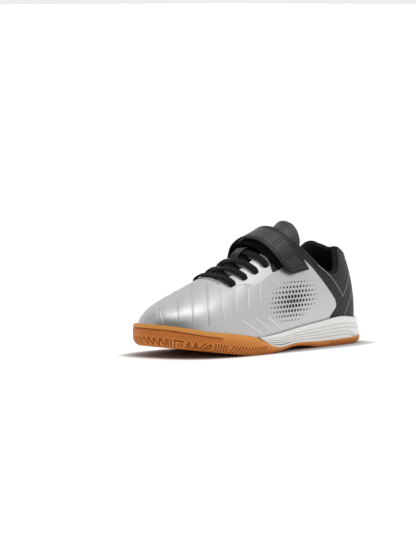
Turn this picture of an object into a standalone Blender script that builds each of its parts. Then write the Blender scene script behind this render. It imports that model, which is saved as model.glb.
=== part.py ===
"""Indoor soccer shoe for the left foot, standing empty on its sole.

A hollow upper on a gum cup sole with a foam heel wedge, a padded tongue, an insole, crossed
elastic laces under a lace keeper, and a folded strap that runs through a loop on the inner side.

Lengths below are millimetres, and the model is in metres.  +X runs from heel to toe, +Y to the
outer side of the foot and +Z up.  A place on the last is a pair (s, t): s is the station round
the feather line, 0 at the heel, 12 at the toe, positive on the outer side and negative on the
inner side, and t runs up the section from the feather line (0) to the ridge of the foot (1).
"""
import bmesh
import bpy
import numpy as np

MM = 0.001

# Driving dimensions of the last and the sole
LAST_LENGTH = 219.0
BALL_WIDTH = 77.0
INSTEP_HEIGHT = 81.0
GAP = 0.3                  # clearance between neighbouring pieces

# Sections of the last: shares of the length, ball width and instep height, then the section's
# bulge (rise and lean at the feather line, reach at the ridge).  The ridge lies to the inner side.
SECTION_COLUMNS = ("foot_x", "outer", "inner", "ridge_x", "ridge_y", "ridge_z", "rise", "lean", "reach")
SECTIONS = {
    "heel":      (0.000, 0.000, 0.000, 0.164, 0.000, 1.284, 0.40, 0.08, 0.69),
    "heel_turn": (0.021, 0.195, 0.195, 0.169, 0.000, 1.284, 0.40, 0.08, 0.69),
    "heel_side": (0.068, 0.318, 0.312, 0.187, 0.000, 1.296, 0.42, 0.08, 0.70),
    "ankle":     (0.164, 0.377, 0.357, 0.228, -0.010, 1.309, 0.45, 0.10, 0.79),
    "shank":     (0.283, 0.403, 0.344, 0.274, -0.040, 1.296, 0.50, 0.12, 0.75),
    "waist":     (0.420, 0.442, 0.331, 0.356, -0.078, 1.205, 0.50, 0.12, 0.60),
    "instep":    (0.548, 0.494, 0.383, 0.484, -0.104, 1.020, 0.48, 0.12, 0.54),
    "ball":      (0.667, 0.526, 0.474, 0.621, -0.110, 0.831, 0.48, 0.12, 0.54),
    "toe_root":  (0.772, 0.500, 0.519, 0.721, -0.100, 0.720, 0.50, 0.12, 0.60),
    "toe_side":  (0.863, 0.416, 0.494, 0.792, -0.090, 0.646, 0.52, 0.135, 0.665),
    "toe_turn":  (0.932, 0.286, 0.403, 0.831, -0.084, 0.607, 0.54, 0.15, 0.71),
    "toe_bend":  (0.977, 0.130, 0.260, 0.850, -0.080, 0.586, 0.57, 0.165, 0.75),
    "toe":       (1.000, -0.065, 0.065, 0.857, -0.078, 0.579, 0.57, 0.18, 0.77),
}
LAST_STATION = len(SECTIONS) - 1

# Heights of the sole above the floor, and how far it stands out from the feather line, lower down
# and at the rim of the foam wedge
SOLE_COLUMNS = ("station", "floor", "gum_top", "bed", "rim", "margin", "rim_margin")
SOLE = {
    "heel":      (0.0, 1.8, 6.9, 15.0, 20.4, 6.2, 4.0),
    "heel_turn": (1.0, 1.4, 6.3, 15.0, 20.6, 6.0, 3.8),
    "heel_side": (2.0, 0.5, 5.9, 15.0, 21.6, 5.4, 3.4),
    "ankle":     (3.0, 0.0, 5.3, 14.5, 23.6, 4.2, 3.1),
    "shank":     (4.0, 0.0, 5.0, 13.0, 21.2, 3.3, 3.1),
    "waist":     (5.0, 2.4, 6.0, 11.0, 18.2, 3.0, 3.0),
    "instep":    (5.8, 0.7, 4.3, 9.0, 15.8, 3.2, 3.2),
    "wedge":     (6.2, 0.0, 6.8, 8.5, 14.9, 3.3, 3.3),
    "wedge_tip": (6.6, 0.0, 12.2, 8.2, 14.3, 3.3, 3.3),
    "ball":      (7.0, 0.0, 15.0, 8.0, 15.0, 3.4, 3.4),
    "toe_root":  (8.0, 2.5, 19.7, 8.5, 19.7, 3.6, 3.6),
    "toe_side":  (9.0, 5.2, 22.5, 10.5, 22.5, 3.9, 3.9),
    "toe_turn":  (10.0, 7.2, 25.8, 13.0, 25.8, 4.6, 4.6),
    "toe_bend":  (11.0, 8.5, 28.0, 15.5, 28.0, 5.3, 5.3),
    "toe":       (12.0, 9.6, 28.4, 16.5, 28.4, 5.7, 5.7),
}

# Top edge of the upper: collar from the heel to the front of the ankle, then the throat
EDGE_COLUMNS = ("station", "share")
EDGE = {
    "heel":         (0.0, 0.512),
    "heel_turn":    (1.0, 0.548),
    "heel_side":    (1.9, 0.570),
    "tab_corner":   (2.35, 0.556),
    "tab_side":     (2.70, 0.455),
    "collar_dip":   (3.15, 0.357),
    "collar_rise":  (3.60, 0.374),
    "collar_slope": (4.20, 0.510),
    "collar_front": (4.60, 0.650),
    "throat_top":   (5.00, 0.735),
    "throat":       (5.50, 0.760),
    "toe":          (12.0, 0.760),
}
THROAT_BASE = 7.5
WALL = 2.0
COLLAR_PAD = 3.4           # padding on the inside of the collar
COLLAR_PAD_DEPTH = 0.26    # how far the padding reaches below the edge, as a share of the section
COLLAR_PAD_END = (4.4, 5.1)
COLLAR_ROLL = 0.30         # rise of the rolled edge, as a share of the wall there
SIDE_ROWS = (0, 0.08, 0.18, 0.30, 0.44, 0.58, 0.72, 0.86, 1.0)    # shares of the way up to the edge
VAMP_ROWS = (0.25, 0.5, 0.75)                                     # and from there to the ridge

# Side profile of the gum sole: share of its height, and inset from the sole's outline
GUM_PROFILE_COLUMNS = ("height_share", "inset")
GUM_PROFILE = {
    "tread_edge": (0.00, 2.6),
    "side_foot":  (0.14, 0.8),
    "side":       (0.71, 0.1),
    "groove":     (0.765, 0.8),
    "lip_foot":   (0.81, 0.0),
    "lip":        (0.93, 0.1),
    "lip_round":  (1.00, 0.9),
}
FLEX_GROOVES = (1.6, 3.5, 6.9, 7.6, 8.3, 9.0, 9.75)
FLEX_GROOVE_HALF = 0.10
FLEX_GROOVE_FLAT = 0.7     # share of the half width that is cut to the full depth
FLEX_GROOVE_DEPTH = 1.6

# Side profile of the foam wedge: three flowing ribs between its foot and its rim
RIB_COUNT = 3
RIB_FIRST = 0.30           # shares of the wedge's height: first groove, their pitch and half width
RIB_PITCH = 0.22
RIB_HALF = 0.07
RIB_DEPTH = 0.8
RIB_FULL_HEIGHT = 8.0      # below this height of the wedge the ribs fade out
RIB_WAVE = 0.05
RIB_WAVE_COUNT = 1.25
WEDGE_MIN = 0.9            # thickness left at the tips of the wedge
WEDGE_END = 6.5
WEDGE_BED_END = 6.0
WEDGE_FOOT = ((0.0, 0.3, 0.0), (0.10, 0.0, 0.0))     # share of the height, inset, pull of the wave
WEDGE_RIM = ((0.92, 0.1, 0.0), (1.0, 0.8, 0.0))

# Stations round one side: stretches of (start, end, steps) that upper and sole share
SIDE_STRETCHES = ((0, 2, 6), (2, 3.3, 8), (3.3, THROAT_BASE, 12), (THROAT_BASE, LAST_STATION, 10))
RIM_INNER_STEPS = 3
FLAT_RIM_STEP = 0.4

INSOLE_THICKNESS = 3.2
INSOLE_INSET = 3.0
INSOLE_END = 0.2           # stations left off at its heel and toe ends
INSOLE_ACROSS = 4

# Overlays stand on the upper
OVERLAY = 0.9
HEEL_PANEL_ABOVE_RIM = 1.0
HEEL_PANEL_BELOW_EDGE = 0.012
EYESTAY_LOW_COLUMNS = ("station", "share")
EYESTAY_LOW = {
    "rear":   (5.66, 0.545),
    "middle": (6.25, 0.535),
    "point":  (6.55, 0.540),
    "front":  (6.80, 0.590),
    "nose":   (7.32, 0.640),
}
HEEL_PANEL_LOW_COLUMNS = ("station", "share")
HEEL_PANEL_LOW = {
    "sole":  (3.05, 0.110),
    "bend":  (3.20, 0.185),
    "side":  (3.50, 0.260),
    "rise":  (3.85, 0.335),
    "front": (4.15, 0.420),
}

# Laces: eyelet places (x, share) on each side, from the toe end to the ankle
EYELETS = ((146.6, 0.675), (134.0, 0.670), (122.2, 0.655), (110.4, 0.645))
LACE_WIDTH = 5.4
LACE_THICKNESS = 2.2
LACE_SIDES = 8
LACE_OVER_EYESTAY = GAP + OVERLAY + GAP + LACE_THICKNESS / 2
LACE_AT_CROSSING = 1.8
LACE_UNDER_END = -1.1
LACE_UNDER_SHARE = 0.875
LACE_UNDER_BACK = 4.5      # a strand comes out this far behind the row below

# Tongue: place along the foot, side edge as a share of the section, depth under the upper's face
TONGUE_COLUMNS = ("x", "side_share", "top_offset", "thickness")
TONGUE = {
    "tip":      (66.5, 0.665, -0.3, 4.0),
    "pad":      (73.0, 0.735, -1.0, 5.0),
    "pad_root": (81.0, 0.790, -1.6, 5.0),
    "strap":    (91.0, 0.800, -2.3, 4.4),
    "laces":    (118.0, 0.660, -2.8, 3.4),
    "root":     (155.0, 0.700, -2.8, 2.4),
}
TONGUE_EDGE = 0.35         # thickness at the side edges, as a share of the middle's
TONGUE_BOW = 4.5           # the sides of the tongue's top lie this far in front of its middle
TONGUE_BOW_END = 95.0
TONGUE_ACROSS = 9

KEEPER_WIDTH = 9.0
KEEPER_THICKNESS = 0.9
KEEPER_COLUMNS = ("x", "offset")
KEEPER = (
    (122.0, -2.2), (121.5, 0.6), (118.5, 3.5), (112.5, 4.1), (106.5, 3.6), (103.5, 1.2), (102.5, -1.8),
)

# Strap: q runs across the foot from its free end (+) over the ridge (0) to the loop (-);
# lift is the height of the strap's face over the last
STRAP_COLUMNS = ("q", "rear_x", "front_x", "rear_lift", "front_lift")
STRAP = {
    "free_end":     (0.600, 71.8, 92.4, 3.6, 3.6),
    "low":          (0.470, 76.8, 98.7, 4.2, 4.3),
    "side":         (0.310, 80.0, 100.5, 4.6, 5.0),
    "shoulder":     (0.150, 81.5, 101.0, 4.8, 5.6),
    "crest":        (0.000, 83.5, 101.5, 5.4, 6.8),
    "far_shoulder": (-0.150, 85.5, 102.5, 7.0, 8.6),
    "far_side":     (-0.260, 87.0, 103.5, 8.4, 9.2),
    "bar":          (-0.360, 88.0, 104.5, 8.8, 8.8),
    "far_low":      (-0.400, 88.5, 105.0, 8.8, 8.8),
}
STRAP_LAYER = 1.5
STRAP_LAYER_GAP = 0.4
STRAP_ROOT_Q = 0.50
STRAP_FOLD_Q = -0.40
STRAP_FRONT_Q = 0.93       # the free end is cut at a slant
STRAP_FOLD_STEPS = 6
STRAP_FOLD_BULGE = 0.070   # how far the fold reaches past the bar, outside and inside
STRAP_FOLD_INSIDE = 0.038
STRAP_PARTING_Q = (-0.33, -0.12)    # the two layers draw together between these

# Loop for the strap on the inner side: a rounded frame on the last
LOOP_CENTRE = (5.37, 0.515)
LOOP_HALF = (0.47, 0.115)
LOOP_BAR = (0.075, 0.030)
LOOP_THICKNESS = 2.4
LOOP_LIFT = (0.3, 4.5)     # height over the upper at its sewn foot and at the strap's bar
LOOP_STEPS = 28
LOOP_SQUARENESS = 4.0

COLOURS = {
    "silver": ((0.62, 0.63, 0.65), 0.34, 0.6),
    "white_leather": ((0.78, 0.79, 0.80), 0.42, 0.1),
    "black_panel": ((0.030, 0.031, 0.034), 0.55, 0.0),
    "black_cloth": ((0.016, 0.016, 0.017), 0.85, 0.0),
    "black_strap": ((0.022, 0.022, 0.024), 0.50, 0.0),
    "gum": ((0.46, 0.165, 0.045), 0.50, 0.0),
    "foam": ((0.80, 0.79, 0.76), 0.60, 0.0),
    "grey_plastic": ((0.42, 0.43, 0.45), 0.35, 0.3),
    "insole_cloth": ((0.030, 0.031, 0.034), 0.90, 0.0),
}


def column(table, columns, name):
    """Return one named column of a table as an array."""
    rows = table.values() if isinstance(table, dict) else table
    return np.array([row[columns.index(name)] for row in rows], float)


class Smooth:
    """A smooth curve through a table's rows that never overshoots them."""

    def __init__(self, places, values):
        order = np.argsort(places)
        self.places = np.asarray(places, float)[order]
        self.values = np.asarray(values, float)[order]
        run = np.diff(self.places)
        rise = np.diff(self.values) / run
        slope = np.zeros(len(self.places))
        slope[-1] = rise[-1]
        for k in range(1, len(rise)):
            if rise[k - 1] * rise[k] > 0:
                slope[k] = 2 * rise[k - 1] * rise[k] / (rise[k - 1] + rise[k])
        self.slope = slope

    def __call__(self, place):
        place = np.clip(np.asarray(place, float), self.places[0], self.places[-1])
        k = np.clip(np.searchsorted(self.places, place, side="right") - 1, 0, len(self.places) - 2)
        run = self.places[k + 1] - self.places[k]
        h = (place - self.places[k]) / run
        return ((1 + 2 * h) * (1 - h) ** 2 * self.values[k] + h * (1 - h) ** 2 * run * self.slope[k]
                + h * h * (3 - 2 * h) * self.values[k + 1] + h * h * (h - 1) * run * self.slope[k + 1])


class RoundSpline:
    """A closed cubic spline with one knot at each station of the outer and inner side."""

    def __init__(self, outer, inner):
        self.values = np.concatenate([outer, inner[-2:0:-1]])
        count = len(self.values)
        system = 4 * np.eye(count) + np.roll(np.eye(count), 1, 0) + np.roll(np.eye(count), -1, 0)
        self.slope = np.linalg.solve(system, 3 * (np.roll(self.values, -1) - np.roll(self.values, 1)))

    def __call__(self, station):
        count = len(self.values)
        station = np.asarray(station, float) % count
        k = np.floor(station).astype(int) % count
        n = (k + 1) % count
        h = station - np.floor(station)
        return ((1 + 2 * h) * (1 - h) ** 2 * self.values[k] + h * (1 - h) ** 2 * self.slope[k]
                + h * h * (3 - 2 * h) * self.values[n] + h * h * (h - 1) * self.slope[n])


def table_curve(table, columns, place, name):
    """Return the smooth curve of one column against another."""
    return Smooth(column(table, columns, place), column(table, columns, name))


class Last:
    """The foot form that the upper, the overlays, the tongue and the laces follow."""

    def __init__(self):
        def part(name, size=1.0):
            return size * column(SECTIONS, SECTION_COLUMNS, name)

        def even(values):
            return RoundSpline(values, values)

        self.foot_x = even(part("foot_x", LAST_LENGTH))
        self.foot_y = RoundSpline(part("outer", BALL_WIDTH), -part("inner", BALL_WIDTH))
        self.ridge_x = even(part("ridge_x", LAST_LENGTH))
        self.ridge_y = even(part("ridge_y", BALL_WIDTH))
        self.ridge_z = even(part("ridge_z", INSTEP_HEIGHT))
        self.rise = even(part("rise"))
        self.lean = even(part("lean"))
        self.reach = even(part("reach"))
        self.sole = {name: table_curve(SOLE, SOLE_COLUMNS, "station", name) for name in SOLE_COLUMNS[1:]}
        self.edge_share = table_curve(EDGE, EDGE_COLUMNS, "station", "share")

    def level(self, name, station):
        """Return a column of the sole's table at stations on either side."""
        return self.sole[name](np.abs(station))

    def edge(self, station):
        """Return the share of the section at which the upper's edge lies."""
        return self.edge_share(np.abs(station))

    def ridge(self, station):
        """Return the ridge point of each section."""
        return np.stack([self.ridge_x(station), self.ridge_y(station), self.ridge_z(station)], -1)

    def point(self, station, share):
        """Return points of the last's surface."""
        station, share = np.broadcast_arrays(np.asarray(station, float), np.asarray(share, float))
        foot = np.stack([self.foot_x(station), self.foot_y(station), self.level("bed", station)], -1)
        ridge = self.ridge(station)
        step = 0.02
        before = self.ridge(np.clip(np.abs(station) - step, 0, LAST_STATION))
        after = self.ridge(np.clip(np.abs(station) + step, 0, LAST_STATION))
        run = after[..., 0] - before[..., 0]
        slope = (after[..., 2] - before[..., 2]) / np.where(np.abs(run) < 1e-6, 1e-6, run)
        slope = np.clip(slope, -0.8, 0.3)[..., None]
        out = (foot - ridge)[..., :2]
        spread = np.linalg.norm(out, axis=-1, keepdims=True)
        out = out / spread
        height = ridge[..., 2:] - foot[..., 2:]
        upright = np.concatenate([self.lean(station)[..., None] * out, np.ones_like(height)], -1)
        low = foot + self.rise(station)[..., None] * height * upright
        over = np.concatenate([out, slope * out[..., :1]], -1)
        high = ridge + self.reach(station)[..., None] * spread * over
        t = share[..., None]
        u = 1 - t
        return u ** 3 * foot + 3 * u * u * t * low + 3 * u * t * t * high + t ** 3 * ridge

    def normal(self, station, share):
        """Return the outward unit normals of the last's surface."""
        station, share = np.broadcast_arrays(np.asarray(station, float), np.asarray(share, float))
        near_ridge = 0.985
        step = 0.01

        def slanted(place):
            t = np.minimum(share, near_ridge)
            along = self.point(place + step, t) - self.point(place - step, t)
            up = self.point(place, t + step) - self.point(place, np.maximum(t - step, 0))
            across = np.cross(up, along)
            return across / np.linalg.norm(across, axis=-1, keepdims=True)

        both = slanted(station) + np.where(share[..., None] > near_ridge, slanted(-station), 0)
        return both / np.linalg.norm(both, axis=-1, keepdims=True)

    def skin(self, station, share, offset):
        """Return points at an offset from the last's surface, outwards if positive."""
        offset = np.asarray(offset, float)[..., None]
        return self.point(station, share) + self.normal(station, share) * offset

    def station_at(self, x, share):
        """Return the stations of the outer side whose sections pass a place along the foot."""
        x, share = np.broadcast_arrays(np.asarray(x, float), np.asarray(share, float))
        low = np.zeros_like(x)
        high = np.full_like(x, LAST_STATION)
        for _ in range(40):
            middle = (low + high) / 2
            behind = self.point(middle, share)[..., 0] < x
            low = np.where(behind, middle, low)
            high = np.where(behind, high, middle)
        return (low + high) / 2

    def over(self, q, x, offset):
        """Return points across the foot: q is + on the outer side, 0 on the ridge, - inside."""
        q, x = np.broadcast_arrays(np.asarray(q, float), np.asarray(x, float))
        station = self.station_at(x, 1 - np.abs(q))
        return self.skin(np.where(q < 0, -station, station), 1 - np.abs(q), offset)

    def share_at(self, station, height):
        """Return the share of the section at which it reaches a height."""
        station, height = np.broadcast_arrays(np.asarray(station, float), np.asarray(height, float))
        low = np.zeros_like(station)
        high = np.full_like(station, 0.6)
        for _ in range(40):
            middle = (low + high) / 2
            under = self.point(station, middle)[..., 2] < height
            low = np.where(under, middle, low)
            high = np.where(under, high, middle)
        return (low + high) / 2

    def outline(self, station, outset, height):
        """Return points beside the feather line, outwards if the outset is positive."""
        step = 0.001
        place = np.stack([self.foot_x(station), self.foot_y(station)], -1)
        along = np.stack([self.foot_x(station + step) - self.foot_x(station - step),
                          self.foot_y(station + step) - self.foot_y(station - step)], -1)
        along = along / np.linalg.norm(along, axis=-1, keepdims=True)
        out = np.stack([-along[..., 1], along[..., 0]], -1)
        flat = place + out * np.broadcast_to(outset, np.shape(station))[..., None]
        return np.concatenate([flat, np.broadcast_to(height, np.shape(station))[..., None]], -1)


LAST = Last()


class Mesh:
    """Points and faces of one piece while it is put together."""

    def __init__(self):
        self.points = []
        self.faces = []

    def add(self, points):
        """Add an array of points and return their numbers in the same shape."""
        points = np.asarray(points, float)
        start = len(self.points)
        self.points.extend(points.reshape(-1, 3).tolist())
        return start + np.arange(points.size // 3).reshape(points.shape[:-1])

    def quad(self, *corners):
        """Add a face, leaving out corners that repeat."""
        kept = list(dict.fromkeys(int(corner) for corner in corners))
        if len(kept) > 2:
            self.faces.append(kept)

    def strip(self, first, second, closed=False):
        """Join two rows of points with faces."""
        count = len(first)
        for k in range(count if closed else count - 1):
            n = (k + 1) % count
            self.quad(first[k], first[n], second[n], second[k])

    def slab(self, top, bottom):
        """Close a sheet between two grids of points."""
        for row in range(len(top) - 1):
            self.strip(top[row], top[row + 1])
            self.strip(bottom[row + 1], bottom[row])
        self.strip(bottom[0], top[0])
        self.strip(top[-1], bottom[-1])
        self.strip(top[:, 0], bottom[:, 0])
        self.strip(bottom[:, -1], top[:, -1])

    def drop_unused(self):
        """Leave out points that no face uses."""
        used = sorted({corner for face in self.faces for corner in face})
        renumber = {old: new for new, old in enumerate(used)}
        self.points = [self.points[old] for old in used]
        self.faces = [[renumber[corner] for corner in face] for face in self.faces]

    def ladder(self, ring, flip=False):
        """Close a ring across from side to side; it starts at the heel and turns by the outer side."""
        count = len(ring)
        for k in range(count // 2):
            corners = [ring[k], ring[k + 1], ring[count - k - 1], ring[(count - k) % count]]
            self.quad(*(reversed(corners) if flip else corners))


def material(name):
    """Return the material of a finish, made once."""
    if name in bpy.data.materials:
        return bpy.data.materials[name]
    colour, roughness, metallic = COLOURS[name]
    finish = bpy.data.materials.new(name)
    finish.use_nodes = True
    shader = finish.node_tree.nodes["Principled BSDF"]
    shader.inputs["Base Color"].default_value = (*colour, 1.0)
    shader.inputs["Roughness"].default_value = roughness
    shader.inputs["Metallic"].default_value = metallic
    return finish


def add_object(name, mesh, finish, root):
    """Make an object of a piece's points and faces, with its faces pointing out."""
    data = bpy.data.meshes.new(name)
    data.from_pydata((np.array(mesh.points) * MM).tolist(), [], mesh.faces)
    data.validate()
    shape = bpy.data.objects.new(name, data)
    bpy.context.scene.collection.objects.link(shape)
    shape.parent = root
    data.materials.append(material(finish))
    turn_outwards(data)
    data.shade_smooth()
    return shape


def turn_outwards(data):
    """Turn the faces of a closed mesh so that they all point out."""
    shell = bmesh.new()
    shell.from_mesh(data)
    bmesh.ops.recalc_face_normals(shell, faces=shell.faces)
    shell.to_mesh(data)
    shell.free()


def both_sides(stations):
    """Return the stations of a closed ring: up the outer side and back down the inner side."""
    return np.concatenate([stations, -stations[-2:0:-1]])


def spaced(*stretches):
    """Return stations in stretches of (start, end, steps), joined end to end."""
    parts = [np.linspace(start, end, steps + 1)[:-1] for start, end, steps in stretches]
    return np.append(np.concatenate(parts), stretches[-1][1])


def wall_at(station, share):
    """Return the upper's thickness: its wall, and the padding of the collar."""
    start, end = COLLAR_PAD_END
    fade = np.clip((end - np.abs(station)) / (end - start), 0, 1)
    depth = np.clip(1 - (LAST.edge(station) - share) / COLLAR_PAD_DEPTH, 0, 1)
    return WALL + COLLAR_PAD * fade * depth * depth * (3 - 2 * depth)


def upper():
    """Return the hollow upper, open at the collar, the throat and underneath."""
    mesh = Mesh()
    side = spaced(*SIDE_STRETCHES)
    ring = both_sides(side)
    count = len(ring)
    toe_end = len(side) - 1
    base = int(np.argmin(np.abs(side - THROAT_BASE)))
    shares = np.array(SIDE_ROWS)
    edge = LAST.edge(ring)
    low = shares[:, None] * edge
    outer = LAST.skin(ring, low, np.zeros_like(low))
    inner = LAST.skin(ring, low, -wall_at(ring, low))
    inner[0] = LAST.outline(ring, -WALL, LAST.level("bed", ring))
    outer_rows = mesh.add(outer)
    inner_rows = mesh.add(inner)
    for row in range(len(shares) - 1):
        mesh.strip(outer_rows[row], outer_rows[row + 1], closed=True)
        mesh.strip(inner_rows[row + 1], inner_rows[row], closed=True)
    mesh.strip(inner_rows[0], outer_rows[0], closed=True)

    # The vamp closes over the ridge in front of the throat
    front = range(base, count - base + 1)
    vamp_shares = np.array(VAMP_ROWS)
    high = edge[None, :] + vamp_shares[:, None] * (1 - edge[None, :])
    vamp_outer = np.vstack([outer_rows[-1:], mesh.add(LAST.skin(ring, high, np.zeros_like(high)))])
    vamp_inner = np.vstack([inner_rows[-1:], mesh.add(LAST.skin(ring, high, -wall_at(ring, high)))])
    crest = side[base:]
    top = np.ones_like(crest)
    crest_outer = mesh.add(LAST.skin(crest, top, 0 * crest))
    crest_inner = mesh.add(LAST.skin(crest, top, -wall_at(crest, top)))

    def crest_of(k):
        return (k if k <= toe_end else count - k) - base

    span = np.array(front)
    crests = np.array([crest_of(k) for k in span])
    vamp_outer = np.vstack([vamp_outer[:, span], crest_outer[crests]])
    vamp_inner = np.vstack([vamp_inner[:, span], crest_inner[crests]])
    for row in range(len(vamp_shares) + 1):
        mesh.strip(vamp_outer[row], vamp_outer[row + 1])
        mesh.strip(vamp_inner[row + 1], vamp_inner[row])

    # The free edge: round the collar and along the throat, then across the throat's base
    collar = list(range(count - base, count)) + list(range(0, base + 1))
    rim_outer = list(outer_rows[-1, collar])
    rim_inner = list(inner_rows[-1, collar])
    for rows, rim in ((vamp_outer, rim_outer), (vamp_inner, rim_inner)):
        rim.extend(rows[1:, 0])
        rim.extend(rows[-2:0:-1, -1])
    points = np.array(mesh.points)
    outer_edge = points[rim_outer]
    inner_edge = points[rim_inner]
    roll = COLLAR_ROLL * np.linalg.norm(outer_edge - inner_edge, axis=1, keepdims=True)
    rim_stations = np.concatenate([ring[collar], np.full(2 * len(vamp_shares) + 1, THROAT_BASE)])
    rolled = np.clip((COLLAR_PAD_END[1] - np.abs(rim_stations)) / COLLAR_PAD_END[1], 0, 1)[:, None]
    lip = mesh.add((outer_edge + inner_edge) / 2 + roll * np.sqrt(rolled) * np.array([0, 0, 1]))
    mesh.strip(rim_outer, lip, closed=True)
    mesh.strip(lip, rim_inner, closed=True)
    mesh.drop_unused()
    return mesh


def groove_lift(station):
    """Return how far the tread is cut up at the flex grooves."""
    near = np.min(np.abs(np.abs(station)[:, None] - np.array(FLEX_GROOVES)), axis=1)
    return np.where(near < FLEX_GROOVE_FLAT * FLEX_GROOVE_HALF, FLEX_GROOVE_DEPTH, 0.0)


def rim_inside(station, bed, top):
    """Return the rings of a rim's inner face, a gap away from the upper, from its top to the bed.

    Where the top lies under the bed there is no rim, and the rings lie side by side on the top.
    """
    rings = []
    flat = (top < bed)[:, None]
    for step in range(RIM_INNER_STEPS, -1, -1):
        height = bed + np.maximum(top - bed, 0) * step / RIM_INNER_STEPS
        share = LAST.share_at(station, height)
        wall = LAST.skin(station, share, np.full_like(share, GAP))
        wall[..., 2] = height
        inset = (RIM_INNER_STEPS - step) * FLAT_RIM_STEP
        rings.append(np.where(flat, LAST.outline(station, GAP - inset, top), wall))
    return rings


def outsole():
    """Return the gum sole: a cup round the forefoot that thins out under the foam wedge."""
    mesh = Mesh()
    cuts = [centre + side * FLEX_GROOVE_HALF for centre in FLEX_GROOVES for side in (-1, -0.5, 0.5, 1)]
    ring = both_sides(np.array(sorted(set(spaced(*SIDE_STRETCHES)) | set(cuts))))
    floor = LAST.level("floor", ring)
    top = LAST.level("gum_top", ring)
    bed = LAST.level("bed", ring) - GAP
    margin = LAST.level("margin", ring)
    lift = groove_lift(ring)
    rows = []
    profile = zip(column(GUM_PROFILE, GUM_PROFILE_COLUMNS, "height_share"),
                  column(GUM_PROFILE, GUM_PROFILE_COLUMNS, "inset"))
    for share, inset in profile:
        cut = lift * max(0.0, 1 - 2 * share)
        height = floor + share * (top - floor) + cut
        rows.append(mesh.add(LAST.outline(ring, margin - inset, height)))
    rows.extend(mesh.add(inside) for inside in rim_inside(ring, bed, top))
    for lower, higher in zip(rows, rows[1:]):
        mesh.strip(lower, higher, closed=True)
    mesh.ladder(rows[0], flip=True)
    mesh.ladder(rows[-1])
    return mesh


def wedge_profile():
    """Return the foam wedge's side: shares of its height, insets, and the pull of the wave."""
    profile = list(WEDGE_FOOT)
    for rib in range(RIB_COUNT):
        middle = RIB_FIRST + RIB_PITCH * rib
        profile += [(middle - RIB_HALF, 0.0, 1.0), (middle, RIB_DEPTH, 1.0), (middle + RIB_HALF, 0.0, 1.0)]
    return profile + list(WEDGE_RIM)


def midsole():
    """Return the foam wedge round the heel and arch, with a horn on each side at its front."""
    mesh = Mesh()
    shared = spaced(*SIDE_STRETCHES)
    side = np.append(shared[shared < WEDGE_END - 0.1], WEDGE_END)
    chain = np.concatenate([-side[:0:-1], side])
    middle = len(side) - 1
    foot = LAST.level("gum_top", chain) + GAP
    rim = np.maximum(LAST.level("rim", chain), foot + WEDGE_MIN)
    bed = LAST.level("bed", chain) - GAP
    margin = LAST.level("margin", chain)
    flare = margin - LAST.level("rim_margin", chain)
    wave = RIB_WAVE * np.sin(RIB_WAVE_COUNT * np.pi * np.abs(chain))
    rows = []
    for share, inset, pull in wedge_profile():
        height = foot + (share + pull * wave) * (rim - foot)
        depth = inset * np.clip((rim - foot) / RIB_FULL_HEIGHT, 0, 1)
        rows.append(mesh.add(LAST.outline(chain, margin - share * flare - depth, height)))
    seat = np.maximum(bed, foot + WEDGE_MIN / 2)
    rows.extend(mesh.add(inside) for inside in rim_inside(chain, seat, rim))
    under = mesh.add(LAST.outline(chain, np.full_like(chain, GAP), foot))
    for lower, higher in zip(rows, rows[1:]):
        mesh.strip(lower, higher)
    mesh.strip(under, rows[0])
    bed_end = int(np.searchsorted(side, WEDGE_BED_END))
    for k in range(bed_end):
        pairs = (middle + k, middle + k + 1, middle - k - 1, middle - k)
        mesh.quad(*(rows[-1][corner] for corner in pairs))
        mesh.quad(*(under[corner] for corner in reversed(pairs)))
    left = middle + bed_end
    right = middle - bed_end
    mesh.quad(rows[-1][left], under[left], under[right], rows[-1][right])
    mesh.strip(rows[-1][left:], under[left:])
    mesh.strip(rows[-1][:right + 1], under[:right + 1])
    mesh.quad(*([row[-1] for row in rows] + [under[-1]]))
    mesh.quad(*reversed([row[0] for row in rows] + [under[0]]))
    return mesh


def insole():
    """Return the insole, lying on the sole inside the upper."""
    side = spaced((INSOLE_END, 2, 4), (2, 10, 14), (10, LAST_STATION - INSOLE_END, 4))
    across = np.linspace(0, 1, INSOLE_ACROSS)[:, None, None]
    bed = LAST.level("bed", side)
    sheets = []
    for lift in (INSOLE_THICKNESS, GAP):
        outer = LAST.outline(side, -INSOLE_INSET, bed + lift)
        inner = LAST.outline(-side, -INSOLE_INSET, bed + lift)
        sheets.append(outer * (1 - across) + inner * across)
    mesh = Mesh()
    mesh.slab(mesh.add(sheets[0]), mesh.add(sheets[1]))
    return mesh


def tongue():
    """Return the padded tongue, arched over the instep from under the vamp to above the collar."""
    first = TONGUE["tip"][0]
    pad_root = TONGUE["pad_root"][0]
    places = spaced((first, pad_root, 5), (pad_root, TONGUE["root"][0], 11))
    curves = {name: table_curve(TONGUE, TONGUE_COLUMNS, "x", name) for name in TONGUE_COLUMNS[1:]}
    across = np.linspace(-1, 1, TONGUE_ACROSS)[:, None]
    q = -across * (1 - curves["side_share"](places))
    bow = TONGUE_BOW * np.clip((TONGUE_BOW_END - places) / (TONGUE_BOW_END - first), 0, 1)
    x = places + bow * across ** 2
    top = curves["top_offset"](places) + 0 * q
    arch = TONGUE_EDGE + (1 - TONGUE_EDGE) * np.sqrt(1 - across ** 2)
    thickness = curves["thickness"](places) * arch
    mesh = Mesh()
    mesh.slab(mesh.add(LAST.over(q, x, top)), mesh.add(LAST.over(q, x, top - thickness)))
    return mesh


def panel(stations, low, high, rows):
    """Return an overlay on the upper between two edges given as shares of the section."""
    shares = low + np.linspace(0, 1, rows)[:, None] * (high - low)
    places = np.broadcast_to(stations, shares.shape)
    mesh = Mesh()
    face = LAST.skin(places, shares, np.full_like(shares, GAP + OVERLAY))
    back = LAST.skin(places, shares, np.full_like(shares, GAP))
    mesh.slab(mesh.add(face), mesh.add(back))
    return mesh


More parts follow.
